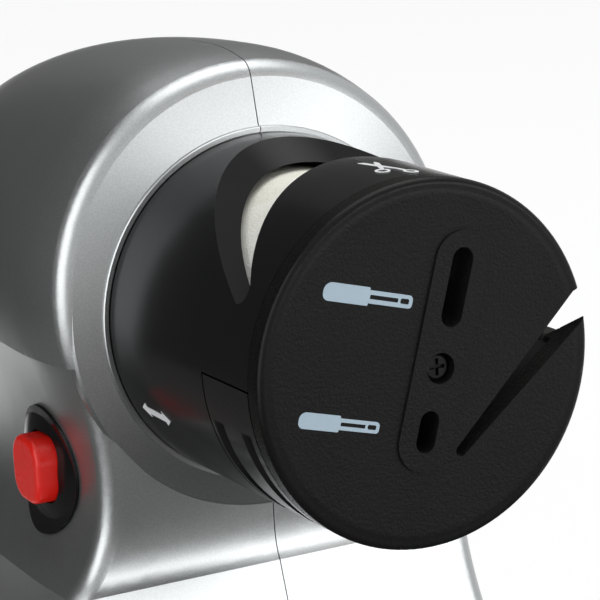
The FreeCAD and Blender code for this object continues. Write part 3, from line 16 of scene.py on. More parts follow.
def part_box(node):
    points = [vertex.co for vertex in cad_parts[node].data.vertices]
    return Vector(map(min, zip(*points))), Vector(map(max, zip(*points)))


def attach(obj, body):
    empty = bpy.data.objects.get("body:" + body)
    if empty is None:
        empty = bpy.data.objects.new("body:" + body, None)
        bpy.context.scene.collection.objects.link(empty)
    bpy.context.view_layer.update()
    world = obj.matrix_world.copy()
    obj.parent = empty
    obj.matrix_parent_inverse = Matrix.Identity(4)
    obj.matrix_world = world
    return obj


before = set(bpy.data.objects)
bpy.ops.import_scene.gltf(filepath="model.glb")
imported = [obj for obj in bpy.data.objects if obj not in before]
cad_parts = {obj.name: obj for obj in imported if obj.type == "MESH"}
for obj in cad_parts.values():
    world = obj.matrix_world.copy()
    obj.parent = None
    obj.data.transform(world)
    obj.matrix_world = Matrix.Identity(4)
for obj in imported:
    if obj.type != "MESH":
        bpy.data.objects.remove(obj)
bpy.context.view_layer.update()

MM = 0.001
SEEN_BY = ("Is Camera Ray", "Is Glossy Ray", "Is Transmission Ray")
log = logging.getLogger("sharpener")

Colour = tuple[float, float, float]
Outline = list[tuple[float, float]]
Shape = list[Outline]

WHITE: Colour = (1.0, 1.0, 1.0)


# Shader graphs

class Signal:
    """The output of a shader node, which takes part in arithmetic."""

    def __init__(self, graph: "Nodes", socket: bpy.types.NodeSocket) -> None:
        """Keep the graph that the node is in and the node's output."""
        self.graph = graph
        self.socket = socket

    def maths(self, operation: str, *others: "Level") -> "Signal":
        """A Math node with this signal as its first value.

        Args:
            operation: the Math node's operation.
            others: its other values.

        Returns:
            The node's output.
        """
        return self.graph.maths(operation, self, *others)

    def __add__(self, other: "Level") -> "Signal":
        """Sum."""
        return self.maths("ADD", other)

    def __radd__(self, other: "Level") -> "Signal":
        """Sum, with the number first."""
        return self.graph.maths("ADD", other, self)

    def __sub__(self, other: "Level") -> "Signal":
        """Difference."""
        return self.maths("SUBTRACT", other)

    def __rsub__(self, other: "Level") -> "Signal":
        """Difference, with the number first."""
        return self.graph.maths("SUBTRACT", other, self)

    def __mul__(self, other: "Level") -> "Signal":
        """Product."""
        return self.maths("MULTIPLY", other)

    def __rmul__(self, other: "Level") -> "Signal":
        """Product, with the number first."""
        return self.graph.maths("MULTIPLY", other, self)

    def __truediv__(self, other: "Level") -> "Signal":
        """Quotient."""
        return self.maths("DIVIDE", other)

    def __rtruediv__(self, other: "Level") -> "Signal":
        """Quotient, with the number first."""
        return self.graph.maths("DIVIDE", other, self)

    def ramp(self, low: float, high: float) -> "Signal":
        """A smooth step from 0 at low to 1 at high."""
        return self.graph.node("ShaderNodeMapRange", {"Value": self, "From Min": low, "From Max": high},
                               interpolation_type="SMOOTHSTEP")


Level = Union[float, Signal]


class Nodes:
    """A node tree that is built from expressions."""

    def __init__(self, tree: bpy.types.NodeTree) -> None:
        """Empty the tree."""
        self.tree = tree
        self.tree.nodes.clear()

    def node(self, kind: str, values: dict[str | int, object] | None = None,
             output: str | int = 0, **settings: object) -> Signal:
        """Any node.

        Args:
            kind: the node's type.
            values: values or signals for its sockets, by name or number.
            output: which output is returned.
            settings: the node's own settings, set before its sockets.

        Returns:
            The chosen output.
        """
        made = self.tree.nodes.new(kind)
        for key, setting in settings.items():
            setattr(made, key, setting)
        for key, value in (values or {}).items():
            self.feed(made.inputs[key], value)
        return Signal(self, made.outputs[output])

    def feed(self, socket: bpy.types.NodeSocket, value: object) -> None:
        """Link a signal to a socket, or set a plain value on it."""
        if isinstance(value, Signal):
            self.tree.links.new(value.socket, socket)
        else:
            socket.default_value = value

    def maths(self, operation: str, *values: Level) -> Signal:
        """A Math node on these values."""
        return self.node("ShaderNodeMath", dict(enumerate(values)), operation=operation)

    def place(self) -> Signal:
        """Where the point is, in the model's frame."""
        return self.node("ShaderNodeTexCoord", output="Object")

    def split(self, vector: Signal) -> tuple[Signal, Signal, Signal]:
        """X, Y and Z of a vector."""
        parts = self.tree.nodes.new("ShaderNodeSeparateXYZ")
        self.feed(parts.inputs[0], vector)
        x, y, z = (Signal(self, socket) for socket in parts.outputs)
        return x, y, z

    def axes(self) -> tuple[Signal, Signal, Signal]:
        """X, Y and Z of the point, in metres."""
        return self.split(self.place())

    def seen(self, level: Level) -> Signal:
        """The level, raised to 1 where the surface is seen, mirrored or seen through."""
        for kind in SEEN_BY:
            level = self.maths("MAXIMUM", level, self.node("ShaderNodeLightPath", output=kind))
        return level

    def stretched(self, scale: Sequence[float]) -> Signal:
        """The place, scaled along each axis, for grain that runs one way."""
        return self.node("ShaderNodeMapping", {"Vector": self.place(), "Scale": tuple(scale)})

    def noise(self, grain: float, detail: float = 2.0, at: Signal | None = None) -> Signal:
        """Soft noise from 0 to 1.

        Args:
            grain: size of its lumps in metres.
            detail: how many finer layers it has.
            at: the place, if it isn't the plain one.

        Returns:
            The noise's value.
        """
        return self.node("ShaderNodeTexNoise", {"Vector": at or self.place(), "Scale": 1.0 / grain,
                                                "Detail": detail, "Roughness": 0.55})

    def cells(self, grain: float) -> Signal:
        """Distance to the nearest of many scattered points, each about grain apart."""
        return self.node("ShaderNodeTexVoronoi", {"Vector": self.place(), "Scale": 1.0 / grain})

    def blend(self, share: Level, first: object, second: object) -> Signal:
        """A colour between two, by share."""
        made = self.tree.nodes.new("ShaderNodeMix")
        made.data_type = "RGBA"
        self.feed(made.inputs["Factor"], share)
        colours = [socket for socket in made.inputs if socket.type == "RGBA"]
        for socket, colour in zip(colours, (first, second)):
            self.feed(socket, (*colour, 1.0) if isinstance(colour, tuple) else colour)
        return Signal(self, next(socket for socket in made.outputs if socket.type == "RGBA"))


class Graph(Nodes):
    """One material's nodes, round a Principled shader."""

    def __init__(self, name: str) -> None:
        """A new material of that name."""
        self.material = bpy.data.materials.new(name)
        self.material.use_nodes = True
        super().__init__(self.material.node_tree)
        self.shader = self.tree.nodes.new("ShaderNodeBsdfPrincipled")
        self.output = self.tree.nodes.new("ShaderNodeOutputMaterial")
        self.tree.links.new(self.shader.outputs["BSDF"], self.output.inputs["Surface"])

    def bump(self, height: Signal, depth: float) -> None:
        """Relief of a given depth in metres, from a height between 0 and 1."""
        self.set("Normal", self.node("ShaderNodeBump", {"Height": height, "Distance": depth,
                                                        "Strength": 1.0}))

    def set(self, name: str, value: object) -> None:
        """Set or link one socket of the Principled shader."""
        self.feed(self.shader.inputs[name], (*value, 1.0) if isinstance(value, tuple) else value)

    def emission(self, colour: Colour, strength: float) -> Signal:
        """A shader that shines evenly."""
        return self.node("ShaderNodeEmission", {"Color": (*colour, 1.0), "Strength": strength})

    def surface(self, shader: Signal) -> None:
        """Put another shader in the Principled one's place."""
        self.feed(self.output.inputs["Surface"], shader)

    def cover(self, share: Level, shader: Signal) -> None:
        """Lay another shader over the Principled one, by share."""
        self.surface(self.node("ShaderNodeMixShader", {
            0: share, 1: Signal(self, self.shader.outputs["BSDF"]), 2: shader}))


# Finishes

def shade(colour: Colour, factor: float) -> Colour:
    """The colour made lighter or darker by a factor."""
    return tuple(min(1.0, channel * factor) for channel in colour)


@dataclass(frozen=True)
class Plastic:
    """Moulded plastic or rubber with a fine grain and handled patches."""

    name: str
    colour: Colour
    roughness: float = 0.4
    grain: float = 0.4 * MM
    relief: float = 0.01 * MM
    tone: float = 0.12
    smudge: float = 0.12
    coat: float = 0.0
    glint: float = 0.5

    def material(self) -> bpy.types.Material:
        """Colour, roughness and relief that vary over the surface."""
        graph = Graph(self.name)
        broad = graph.noise(14 * MM, 3.0)
        fine = graph.noise(self.grain, 3.0)
        graph.set("Base Color", graph.blend(broad * 0.6 + fine * 0.4, shade(self.colour, 1 - self.tone),
                                            shade(self.colour, 1 + self.tone)))
        patches = graph.noise(6 * MM, 4.0).ramp(0.35, 0.75)
        graph.set("Roughness", self.roughness - self.smudge / 2 + patches * self.smudge)
        graph.set("Specular IOR Level", self.glint)
        graph.set("Coat Weight", self.coat)
        graph.set("Coat Roughness", self.roughness * 0.5)
        graph.bump(fine, self.relief)
        return graph.material


@dataclass(frozen=True)
class SilverPaint:
    """Silver metallic paint over moulded plastic: fine flakes under a soft clear coat."""

    name: str = "silver_shell"
    colour: Colour = (0.4, 0.415, 0.42)
    flake: float = 0.22 * MM
    broad_lumps: float = 25 * MM
    peel_lumps: float = 0.9 * MM
    metallic: float = 0.92
    roughness: float = 0.28
    coat: float = 0.18
    coat_roughness: float = 0.16
    relief: float = 0.006 * MM

    def material(self) -> bpy.types.Material:
        """Flakes that change the tone and the gloss, over a slight orange peel."""
        graph = Graph(self.name)
        flakes = graph.cells(self.flake)
        broad = graph.noise(self.broad_lumps)
        tone = flakes.ramp(0.1, 0.75) * 0.55 + broad * 0.45
        graph.set("Base Color", graph.blend(tone, shade(self.colour, 0.84), shade(self.colour, 1.14)))
        graph.set("Metallic", self.metallic)
        graph.set("Roughness", self.roughness + flakes * 0.08 + broad * 0.04)
        graph.set("Coat Weight", self.coat)
        graph.set("Coat Roughness", self.coat_roughness)
        peel = graph.noise(self.peel_lumps)
        graph.bump(peel * 0.7 + flakes * 0.3, self.relief)
        return graph.material


@dataclass(frozen=True)
class SparkBlack:
    """Black plastic with a fine spark-eroded face and a smooth rim."""

    axis_height: float
    rim_inner: float
    rim_outer: float
    name: str = "black_spark"
    colour: Colour = (0.0065, 0.0065, 0.0064)
    pit: float = 0.32 * MM
    speck: float = 0.55 * MM
    broad_lumps: float = 9 * MM
    roughness: float = 0.42
    glint: float = 0.1
    relief: float = 0.14 * MM

    def material(self) -> bpy.types.Material:
        """Pits and specks on the face, which fade out at the rim."""
        graph = Graph(self.name)
        x, _, z = graph.axes()
        up = z - self.axis_height
        reach = graph.maths("SQRT", x * x + up * up)
        rim = reach.ramp(self.rim_inner, self.rim_outer)
        pits = graph.noise(self.pit, 4.0)
        specks = graph.cells(self.speck)
        broad = graph.noise(self.broad_lumps, 3.0)
        light = pits.ramp(0.52, 0.78) * (1 - rim)
        ground = graph.blend(broad, shade(self.colour, 0.85), shade(self.colour, 1.2))
        graph.set("Base Color", graph.blend(light * 0.5, ground, shade(self.colour, 2.6)))
        graph.set("Roughness", self.roughness - rim * 0.2 + specks * 0.1)
        graph.set("Specular IOR Level", self.glint)
        height = (pits * 0.7 + specks * 0.3) * (1 - rim * 0.9)
        graph.bump(height, self.relief)
        return graph.material


@dataclass(frozen=True)
class BarrelBlack:
    """Glossy black outside; in the notch, the bore and wherever else it doesn't face outwards, a dull copy
    of the same black that paints shade there.
    """

    axis_height: float
    name: str = "black_gloss_barrel"
    colour: Colour = (0.006, 0.0062, 0.0068)
    # colour and share of the dull copy that paints shade where the barrel doesn't face outwards
    inside_shade_colour: Colour = (0.008, 0.008, 0.0082)
    inside_shade_share: float = 0.9
    roughness: float = 0.19
    glint: float = 0.36
    relief: float = 0.004 * MM

    def material(self) -> bpy.types.Material:
        """A glossy shader where the surface faces outwards, and a dull one elsewhere, as painted shade."""
        graph = Graph(self.name)
        x, _, z = graph.axes()
        up = z - self.axis_height
        normal = graph.node("ShaderNodeTexCoord", output="Normal")
        across, _, rise = graph.split(normal)
        outward = (across * x + rise * up) / graph.maths("SQRT", x * x + up * up)
        within = 1 - outward.ramp(0.86, 0.97)
        fine = graph.noise(0.5 * MM, 3.0)
        broad = graph.noise(14 * MM, 3.0)
        graph.set("Base Color", graph.blend(broad, shade(self.colour, 0.85), shade(self.colour, 1.2)))
        graph.set("Roughness", self.roughness + fine * 0.03 + broad.ramp(0.45, 0.8) * 0.07)
        graph.set("Specular IOR Level", self.glint)
        graph.bump(fine, self.relief)
        # painted shade: a dull, unreflecting copy of the black covers every face that doesn't face outwards
        dull = graph.node("ShaderNodeBsdfDiffuse", {"Color": (*self.inside_shade_colour, 1.0)})
        graph.cover(within * self.inside_shade_share, dull)
        return graph.material


@dataclass(frozen=True)
class Metal:
    """Turned or brushed metal."""

    name: str
    colour: Colour
    roughness: float = 0.28
    along: tuple[float, float, float] = (1.0, 8.0, 1.0)
    tarnish: float = 0.15

    def material(self) -> bpy.types.Material:
        """Fine lines one way, with duller patches."""
        graph = Graph(self.name)
        lines = graph.noise(1.2 * MM, 3.0, graph.stretched(self.along))
        patches = graph.noise(3 * MM, 3.0).ramp(0.4, 0.7)
        graph.set("Base Color", graph.blend(patches, self.colour, shade(self.colour, 1 - self.tarnish)))
        graph.set("Metallic", 1.0)
        graph.set("Roughness", self.roughness + lines * 0.1 + patches * 0.08)
        graph.bump(lines, 0.008 * MM)
        return graph.material


@dataclass(frozen=True)
class Abrasive:
    """Bonded white grit, creamier and a little darker towards its rear."""

    front: float
    rear: float
    name: str = "abrasive_white"
    colour: Colour = (0.8, 0.81, 0.78)
    rear_colour: Colour = (0.74, 0.72, 0.55)

    def material(self) -> bpy.types.Material:
        """Grit as sharp small relief, with a little grinding dust in the hollows."""
        graph = Graph(self.name)
        _, y, _ = graph.axes()
        grit = graph.cells(0.35 * MM)
        dust = graph.noise(4 * MM, 4.0).ramp(0.45, 0.8)
        # creamier and a little darker towards the drum's rear
        depth = y.ramp(self.front, self.rear) * 0.5
        body = graph.blend(depth, self.colour, self.rear_colour)
        soiled = dust * 0.25 + grit.ramp(0.5, 0.9) * 0.15
        graph.set("Base Color", graph.blend(soiled, body, shade(self.rear_colour, 0.6)))
        graph.set("Roughness", 0.62 + dust * 0.2)
        graph.bump(grit, 0.06 * MM)
        return graph.material


@dataclass(frozen=True)
class Felt:
    """Pressed felt."""

    name: str = "felt"
    colour: Colour = (0.3, 0.29, 0.27)

    def material(self) -> bpy.types.Material:
        """Matted fibres."""
        graph = Graph(self.name)
        fibres = graph.noise(0.3 * MM, 5.0, graph.stretched((1.0, 3.0, 1.0)))
        graph.set("Base Color", graph.blend(fibres, shade(self.colour, 0.7), shade(self.colour, 1.3)))
        graph.set("Roughness", 0.9 + fibres * 0.08)
        graph.set("Sheen Weight", 0.4)
        graph.bump(fibres, 0.1 * MM)
        return graph.material


@dataclass(frozen=True)
class Floor:
    """A pale, even studio floor."""

    name: str = "studio_floor"
    colour: Colour = (0.9, 0.905, 0.91)
    backdrop: float = 0.88

    def material(self) -> bpy.types.Material:
        """Matt, a shade uneven, and part white backdrop where it is seen or mirrored."""
        graph = Graph(self.name)
        graph.set("Base Color", graph.blend(graph.noise(0.5, 2.0), shade(self.colour, 0.99), self.colour))
        graph.set("Roughness", 0.8 + graph.noise(0.2, 2.0) * 0.1)
        graph.cover(graph.seen(0.0) * self.backdrop, graph.emission(WHITE, 1.0))
        return graph.material


# The head frame and meshes

OBLONG_RAISED = 0.35 * MM

@dataclass(frozen=True)
class HeadFrame:
    """Places on the head: x to the right, back from the front face, up from the barrel's axis."""

    face: float
    axis: float

    @classmethod
    def read(cls) -> "HeadFrame":
        """The frame, from the barrel's and the face's own solids."""
        low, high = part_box("head_barrel")
        plate_low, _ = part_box("face_plate")
        return cls(face=plate_low.y + OBLONG_RAISED, axis=(low.z + high.z) / 2)

    def point(self, x: float, back: float, up: float) -> Vector:
        """A place given in millimetres on the head, in the model's frame."""
        return Vector((x * MM, self.face + back * MM, self.axis + up * MM))

    def on_face(self, across: float, up: float, tilt: float, proud: float) -> Matrix:
        """Where a flat mark lies on the face.

        Args:
            across: millimetres to the right of the centre.
            up: millimetres above it.
            tilt: degrees that the mark's length falls to the right.
            proud: millimetres in front of the face.

        Returns:
            The matrix that takes the mark's own x and y to the face.
        """
        return (Matrix.Translation(self.point(across, -proud, up))
                @ Matrix.Rotation(math.radians(90), 4, "X")
                @ Matrix.Rotation(math.radians(-tilt), 4, "Z"))

    def round_barrel(self, radius: float, bearing: float) -> Callable[[Vector], Vector]:
        """How a flat mark wraps round the barrel.

        Args:
            radius: where the mark's upper side lies, in millimetres from the axis.
            bearing: degrees from the top of the barrel towards the right.

        Returns:
            A function from the mark's (back, round, height) in metres to the model's frame.
        """
        def wrap(flat: Vector) -> Vector:
            turn = math.radians(bearing) + flat.y / (radius * MM)
            reach = radius * MM + flat.z
            return Vector((reach * math.sin(turn), self.face + flat.x, self.axis + reach * math.cos(turn)))
        return wrap


class Body(Enum):
    """The moving groups of the sharpener."""

    CASE = "body"
    SPINDLE = "spindle"
    HEAD = "head"
    CUP = "dust_cup"
    BUTTON = "button"
    DOOR = "battery_door"


def finish_piece(mesh: bpy.types.Mesh, name: str, material: bpy.types.Material, body: Body) -> None:
    """Put a mesh in the scene as one piece.

    Args:
        mesh: the mesh, in the model's frame.
        name: the piece's name.
        material: its finish.
        body: the group it moves with.
    """
    mesh.materials.clear()
    mesh.materials.append(material)
    piece = bpy.data.objects.new(name, mesh)
    bpy.context.scene.collection.objects.link(piece)
    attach(piece, body.value)
    log.info("%s: %d faces", name, len(mesh.polygons))


def filled_mesh(name: str, shapes: Sequence[Shape], thick: float) -> bpy.types.Mesh:
    """A flat plate from closed shapes in millimetres.

    Args:
        name: the mesh's name.
        shapes: the shapes, each an outline and the holes inside it.
        thick: the plate's thickness in millimetres.

    Returns:
        A mesh about z = 0.
    """
    joined = bmesh.new()
    for outlines in shapes:
        curve = bpy.data.curves.new(name, "CURVE")
        curve.dimensions = "2D"
        curve.fill_mode = "BOTH"
        curve.extrude = thick * MM / 2
        for points in outlines:
            spline = curve.splines.new("POLY")
            spline.points.add(len(points) - 1)
            for point, (x, y) in zip(spline.points, points):
                point.co = (x * MM, y * MM, 0.0, 1.0)
            spline.use_cyclic_u = True
        holder = bpy.data.objects.new(name, curve)
        bpy.context.scene.collection.objects.link(holder)
        bpy.context.view_layer.update()
        filled = bpy.data.meshes.new_from_object(
            holder.evaluated_get(bpy.context.evaluated_depsgraph_get()))
        joined.from_mesh(filled)
        bpy.data.objects.remove(holder)
        bpy.data.curves.remove(curve)
        bpy.data.meshes.remove(filled)
    bmesh.ops.remove_doubles(joined, verts=joined.verts, dist=1e-6)
    mesh = bpy.data.meshes.new(name)
    joined.to_mesh(mesh)
    joined.free()
    return mesh


def round_bar(left: float, right: float, low: float, high: float, corners: Sequence[float],
              steps: int = 6) -> Outline:
    """A rectangle with round corners, anticlockwise from its lower left one.

    Args:
        left, right, low, high: its sides.
        corners: radii of the lower left, lower right, upper right and upper left corners.
        steps: points per corner.

    Returns:
        Its outline.
    """
    centres = ((left, low, 1, 1), (right, low, -1, 1), (right, high, -1, -1), (left, high, 1, -1))
    points = []
    for k, ((x, y, inward_x, inward_y), radius) in enumerate(zip(centres, corners)):
        for step in range(steps + 1):
            turn = math.radians(180 + 90 * k + 90 * step / steps)
            points.append((x + inward_x * radius + radius * math.cos(turn),
                           y + inward_y * radius + radius * math.sin(turn)))
    return points


def strip(points: Sequence[tuple[float, float]], widths: Sequence[float]) -> Outline:
    """The outline of a bar that follows points, with a width at each."""
    left, right = [], []
    for k, (x, y) in enumerate(points):
        before, after = points[max(k - 1, 0)], points[min(k + 1, len(points) - 1)]
        along = Vector((after[0] - before[0], after[1] - before[1])).normalized()
        half = widths[k] / 2
        left.append((x - along.y * half, y + along.x * half))
        right.append((x + along.y * half, y - along.x * half))
    return left + right[::-1]


def ring(x: float, y: float, reach_x: float, reach_y: float, wire: float, steps: int = 20) -> Shape:
    """An oval ring about (x, y).

    Args:
        x, y: its centre.
        reach_x, reach_y: how far its outside reaches along x and y.
        wire: how wide its band is.
        steps: points on each outline.

    Returns:
        Its outside and its hole.
    """
    turns = [2 * math.pi * step / steps for step in range(steps)]
    return [[(x + (reach_x - inset) * math.cos(turn), y + (reach_y - inset) * math.sin(turn))
             for turn in turns] for inset in (0.0, wire)]


# Printed marks

@dataclass(frozen=True)
class ToolPicture:
    """A handle with a slotted bar, in millimetres. The handle's left end is at its place.

    Attributes:
        name: the picture's name.
        across, up: its place on the face.
        handle, deep: length and height of the handle.
        blade, narrow: length and height of the bar.
        opening: share of the bar's height that its slot takes.
        eye: length of the opening at its tip.
    """

    name: str
    across: float
    up: float
    handle: float
    deep: float
    blade: float
    narrow: float
    opening: float = 0.32
    eye: float = 1.3

    def shapes(self) -> list[Shape]:
        """The handle, and the bar with its openings."""
        half = self.narrow / 2
        tip = self.handle + self.blade
        slit = half * self.opening
        eye_right = tip - self.narrow * 0.3
        eye_left = eye_right - self.eye
        return [
            [round_bar(0.0, self.handle, -self.deep / 2, self.deep / 2,
                       (self.deep * 0.36, 0.2, 0.2, self.deep * 0.48))],
            [round_bar(self.handle + 0.002, tip, -half, half, (0.05, half * 0.6, half * 0.7, 0.05)),
             round_bar(self.handle + 0.15, eye_left - 0.35, -slit, slit, (0.12,) * 4, 3),
             round_bar(eye_left, eye_right, -slit * 1.25, slit * 1.25, (slit * 0.8,) * 4, 4)]]


@dataclass
class FaceMarks:
    """The two small tool pictures printed on the face, one beside each tool slot."""

    head: HeadFrame
    thick: float = 0.06
    sunk: float = 0.02
    tilt: float = 15.0
    colour: Colour = (0.27, 0.35, 0.41)
    pictures: tuple[ToolPicture, ...] = (
        ToolPicture("upper_tool_picture", -15.1, 12.4, handle=6.8, deep=2.45, blade=6.6, narrow=1.75),
        ToolPicture("lower_tool_picture", -19.5, -3.9, handle=6.1, deep=2.2, blade=6.0, narrow=1.55))

    def build(self) -> None:
        """Print both pictures."""
        ink = Plastic("pale_ink", self.colour, roughness=0.5, grain=0.2 * MM, tone=0.06).material()
        for picture in self.pictures:
            mesh = filled_mesh(picture.name, picture.shapes(), self.thick)
            mesh.transform(self.head.on_face(picture.across, picture.up, self.tilt,
                                             self.thick / 2 - self.sunk))
            finish_piece(mesh, picture.name, ink, Body.HEAD)


@dataclass
class BarrelMarks:
    """Marks on the barrel's side: scissors before the notch, and an arrow for pulling the head off.

    Attributes:
        head: where the barrel is.
        radius: where a mark's middle lies on the barrel's front part.
        root_step: how much thicker the barrel is at its root, where the arrow is.
        thick: the marks' thickness.
        loop, loop_flat, loop_wire: reach, flatness and band of the scissors' finger rings.
        arrow_length, arrow_point, arrow_wide, arrow_shaft: the arrow's sizes, the last two by halves.
        scissors_back, scissors_bearing: where the scissors' blades cross.
        arrow_back, arrow_bearing: where the arrow's middle is.
        colour: the ink.
    """

    head: HeadFrame
    radius: float = 25.1
    root_step: float = 0.42
    thick: float = 0.1
    loop: float = 1.2
    loop_flat: float = 0.83
    loop_wire: float = 0.42
    arrow_length: float = 9.4
    arrow_point: float = 2.0
    arrow_wide: float = 1.25
    arrow_shaft: float = 0.6
    scissors_back: float = 11.4
    scissors_bearing: float = 1.6
    arrow_back: float = 36.8
    arrow_bearing: float = -115.1
    colour: Colour = (0.7, 0.71, 0.72)

    def scissors(self) -> list[Shape]:
        """Open scissors whose blades point at the notch: lengths run back along the barrel from the
        place where the blades cross."""
        blades = [
            [strip(((-5.1, 0.6), (-3.2, 0.4), (0.0, -0.55), (3.5, -1.4), (7.5, -1.45)),
                   (0.5, 0.55, 0.8, 0.8, 0.2))],
            [strip(((-2.1, -1.35), (0.0, -0.55), (4.9, 1.3), (7.5, 2.05)), (0.5, 0.7, 0.8, 0.2))]]
        rings = [ring(back, across, self.loop, self.loop * self.loop_flat, self.loop_wire)
                 for back, across in ((-3.25, -1.94), (-6.0, 0.75))]
        return blades + rings

    def arrow(self) -> list[Shape]:
        """A bar with a point at each end."""
        tip, neck = self.arrow_length / 2, self.arrow_length / 2 - self.arrow_point
        wide, shaft = self.arrow_wide, self.arrow_shaft
        return [[[(-tip, 0.0), (-neck, -wide), (-neck, -shaft), (neck, -shaft), (neck, -wide),
                  (tip, 0.0), (neck, wide), (neck, shaft), (-neck, shaft), (-neck, wide)]]]

    def wrap(self, name: str, shapes: list[Shape], back: float, bearing: float,
             radius: float) -> bpy.types.Mesh:
        """A flat mark bent round the barrel.

        Args:
            name: the mark's name.
            shapes: its shapes, in millimetres.
            back: how far its middle is behind the face, in millimetres.
            bearing: degrees from the top of the barrel towards the right.
            radius: where its middle lies, in millimetres from the axis.

        Returns:
            Its mesh.
        """
        mesh = filled_mesh(name, shapes, self.thick)
        shaped = bmesh.new()
        shaped.from_mesh(mesh)
        bmesh.ops.translate(shaped, verts=shaped.verts, vec=(back * MM, 0.0, 0.0))
        bend = self.head.round_barrel(radius, bearing)
        for vertex in shaped.verts:
            vertex.co = bend(vertex.co)
        bmesh.ops.recalc_face_normals(shaped, faces=shaped.faces)
        shaped.to_mesh(mesh)
        shaped.free()
        return mesh

    def build(self) -> None:
        """Print the scissors and the arrow."""
        ink = Plastic("white_ink", self.colour, roughness=0.5, grain=0.2 * MM, tone=0.05).material()
        marks = (
            ("scissors_picture", self.scissors(), self.scissors_back, self.scissors_bearing, self.radius),
            ("pull_arrow", self.arrow(), self.arrow_back, self.arrow_bearing, self.radius + self.root_step))
        for name, shapes, back, bearing, radius in marks:
            mesh = self.wrap(name, shapes, back, bearing, radius)
            finish_piece(mesh, name, ink, Body.HEAD)


# Whole object

@dataclass(frozen=True)
class Finishes:
    """Which finish each solid gets."""

    head: HeadFrame

    def table(self) -> dict[str, tuple[object, tuple[str, ...]]]:
        """Finishes by the record's slot, each with the nodes that carry it."""
        drum_low, drum_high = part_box("grinding_drum")
        return {
            "silver_shell": (SilverPaint(), ("left_shell", "right_shell")),
            "black_gloss": (Plastic("black_gloss", BarrelBlack.colour, roughness=0.2, grain=0.5 * MM,
                                    relief=0.004 * MM, tone=0.15, smudge=0.1, glint=0.35),
                            ("dust_cup", "button_bezel")),
            "black_gloss_barrel": (BarrelBlack(self.head.axis), ("head_barrel",)),
            "black_spark": (SparkBlack(self.head.axis, 22.6 * MM, 23.6 * MM), ("face_plate",)),
            "black_inner": (Plastic("black_inner", (0.008, 0.008, 0.0085), 0.5, glint=0.15),
                            ("slot_guide", "drum_hub", "motor_cap", "switch_body", "switch_carrier")),
            "dark_steel": (Metal("dark_steel", (0.1, 0.1, 0.105), 0.35),
                           ("shell_screws", "base_screws")),
            "black_screw": (Metal("black_screw", (0.025, 0.025, 0.026), 0.5), ("face_screw",)),
            "abrasive_white": (Abrasive(drum_low.y, drum_high.y), ("grinding_drum",)),
            "steel": (Metal("steel", (0.55, 0.55, 0.56)),
                      ("drum_washer", "drum_nut", "motor_shaft", "motor_can", "motor_bracket",
                       "motor_screws", "button_spring")),
            "bronze": (Metal("bronze", (0.55, 0.38, 0.2), 0.35, tarnish=0.3), ("shaft_bush",)),
            "felt": (Felt(), ("felt_ring",)),
            "red_button": (Plastic("red_button", (0.78, 0.012, 0.006), roughness=0.27, grain=0.6 * MM,
                                   relief=0.003 * MM, tone=0.05, smudge=0.05, glint=0.45),
                           ("button_cap",)),
            "white_plastic": (Plastic("white_plastic", (0.75, 0.75, 0.73), 0.45), ("switch_plunger",)),
            "black_base": (Plastic("black_base", (0.03, 0.03, 0.033), 0.5, relief=0.03 * MM, grain=0.5 * MM),
                           ("base_plate", "battery_door")),
            "foot_rubber": (Plastic("foot_rubber", (0.025, 0.025, 0.026), 0.8, relief=0.03 * MM,
                                    grain=0.3 * MM), ("rubber_feet",)),
            "cell_wrap": (Plastic("cell_wrap", (0.13, 0.14, 0.15), 0.3, coat=0.3), ("battery_cells",)),
            "nickel": (Metal("nickel", (0.62, 0.6, 0.56), 0.2), ("contact_plates", "contact_springs")),
            "lead_wire": (Plastic("lead_wire", (0.25, 0.03, 0.03), 0.5), ("leads",)),
        }

    def apply(self) -> None:
        """Give every solid its finish."""
        for slot, (finish, nodes) in self.table().items():
            material = finish.material()
            for name in nodes:
                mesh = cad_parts[name].data
                mesh.materials.clear()
                mesh.materials.append(material)
            log.info("%s on %s", slot, ", ".join(nodes))


@dataclass(frozen=True)
class Card:
    """A card that only mirrors show, as a photographer's flag or reflector: a dark one paints shade into
    reflections, a bright one paints a highlight.

    Attributes:
        name: the card's name.
        start, stop: the ends of its lower edge.
        rise: from its lower edge to its upper one.
        strength: how bright it is.
        colour: its colour.
    """

    name: str
    start: tuple[float, float, float]
    stop: tuple[float, float, float]
    rise: tuple[float, float, float]
    strength: float
    colour: Colour

    def build(self) -> None:
        """Stand the card in the studio."""
        shaped = bmesh.new()
        lower = [shaped.verts.new(self.start), shaped.verts.new(self.stop)]
        grown = bmesh.ops.extrude_edge_only(shaped, edges=[shaped.edges.new(lower)])
        bmesh.ops.translate(shaped, vec=self.rise,
                            verts=[item for item in grown["geom"] if isinstance(item, bmesh.types.BMVert)])
        mesh = bpy.data.meshes.new(self.name)
        shaped.to_mesh(mesh)
        shaped.free()
        graph = Graph(self.name)
        graph.surface(graph.emission(self.colour, self.strength))
        mesh.materials.append(graph.material)
        piece = bpy.data.objects.new(self.name, mesh)
        for ray in ("camera", "diffuse", "transmission", "shadow", "volume_scatter"):
            setattr(piece, f"visible_{ray}", False)
        bpy.context.scene.collection.objects.link(piece)


@dataclass(frozen=True)
class Softbox:
    """A rectangular soft light.

    Attributes:
        name: the light's name.
        place: where it hangs.
        size: its width and height.
        watts: its power.
        mirrored: whether shiny surfaces show it.
    """

    name: str
    place: tuple[float, float, float]
    size: tuple[float, float]
    watts: float
    mirrored: bool = True

    def build(self, target: Vector) -> None:
        """Hang the light so that it faces the target."""
        lamp = bpy.data.lights.new(self.name, "AREA")
        lamp.shape = "RECTANGLE"
        lamp.size, lamp.size_y = self.size
        lamp.energy = self.watts
        holder = bpy.data.objects.new(self.name, lamp)
        holder.location = self.place
        holder.visible_glossy = self.mirrored
        aim = target - Vector(self.place)
        holder.rotation_euler = aim.to_track_quat("-Z", "Y").to_euler()
        bpy.context.scene.collection.objects.link(holder)


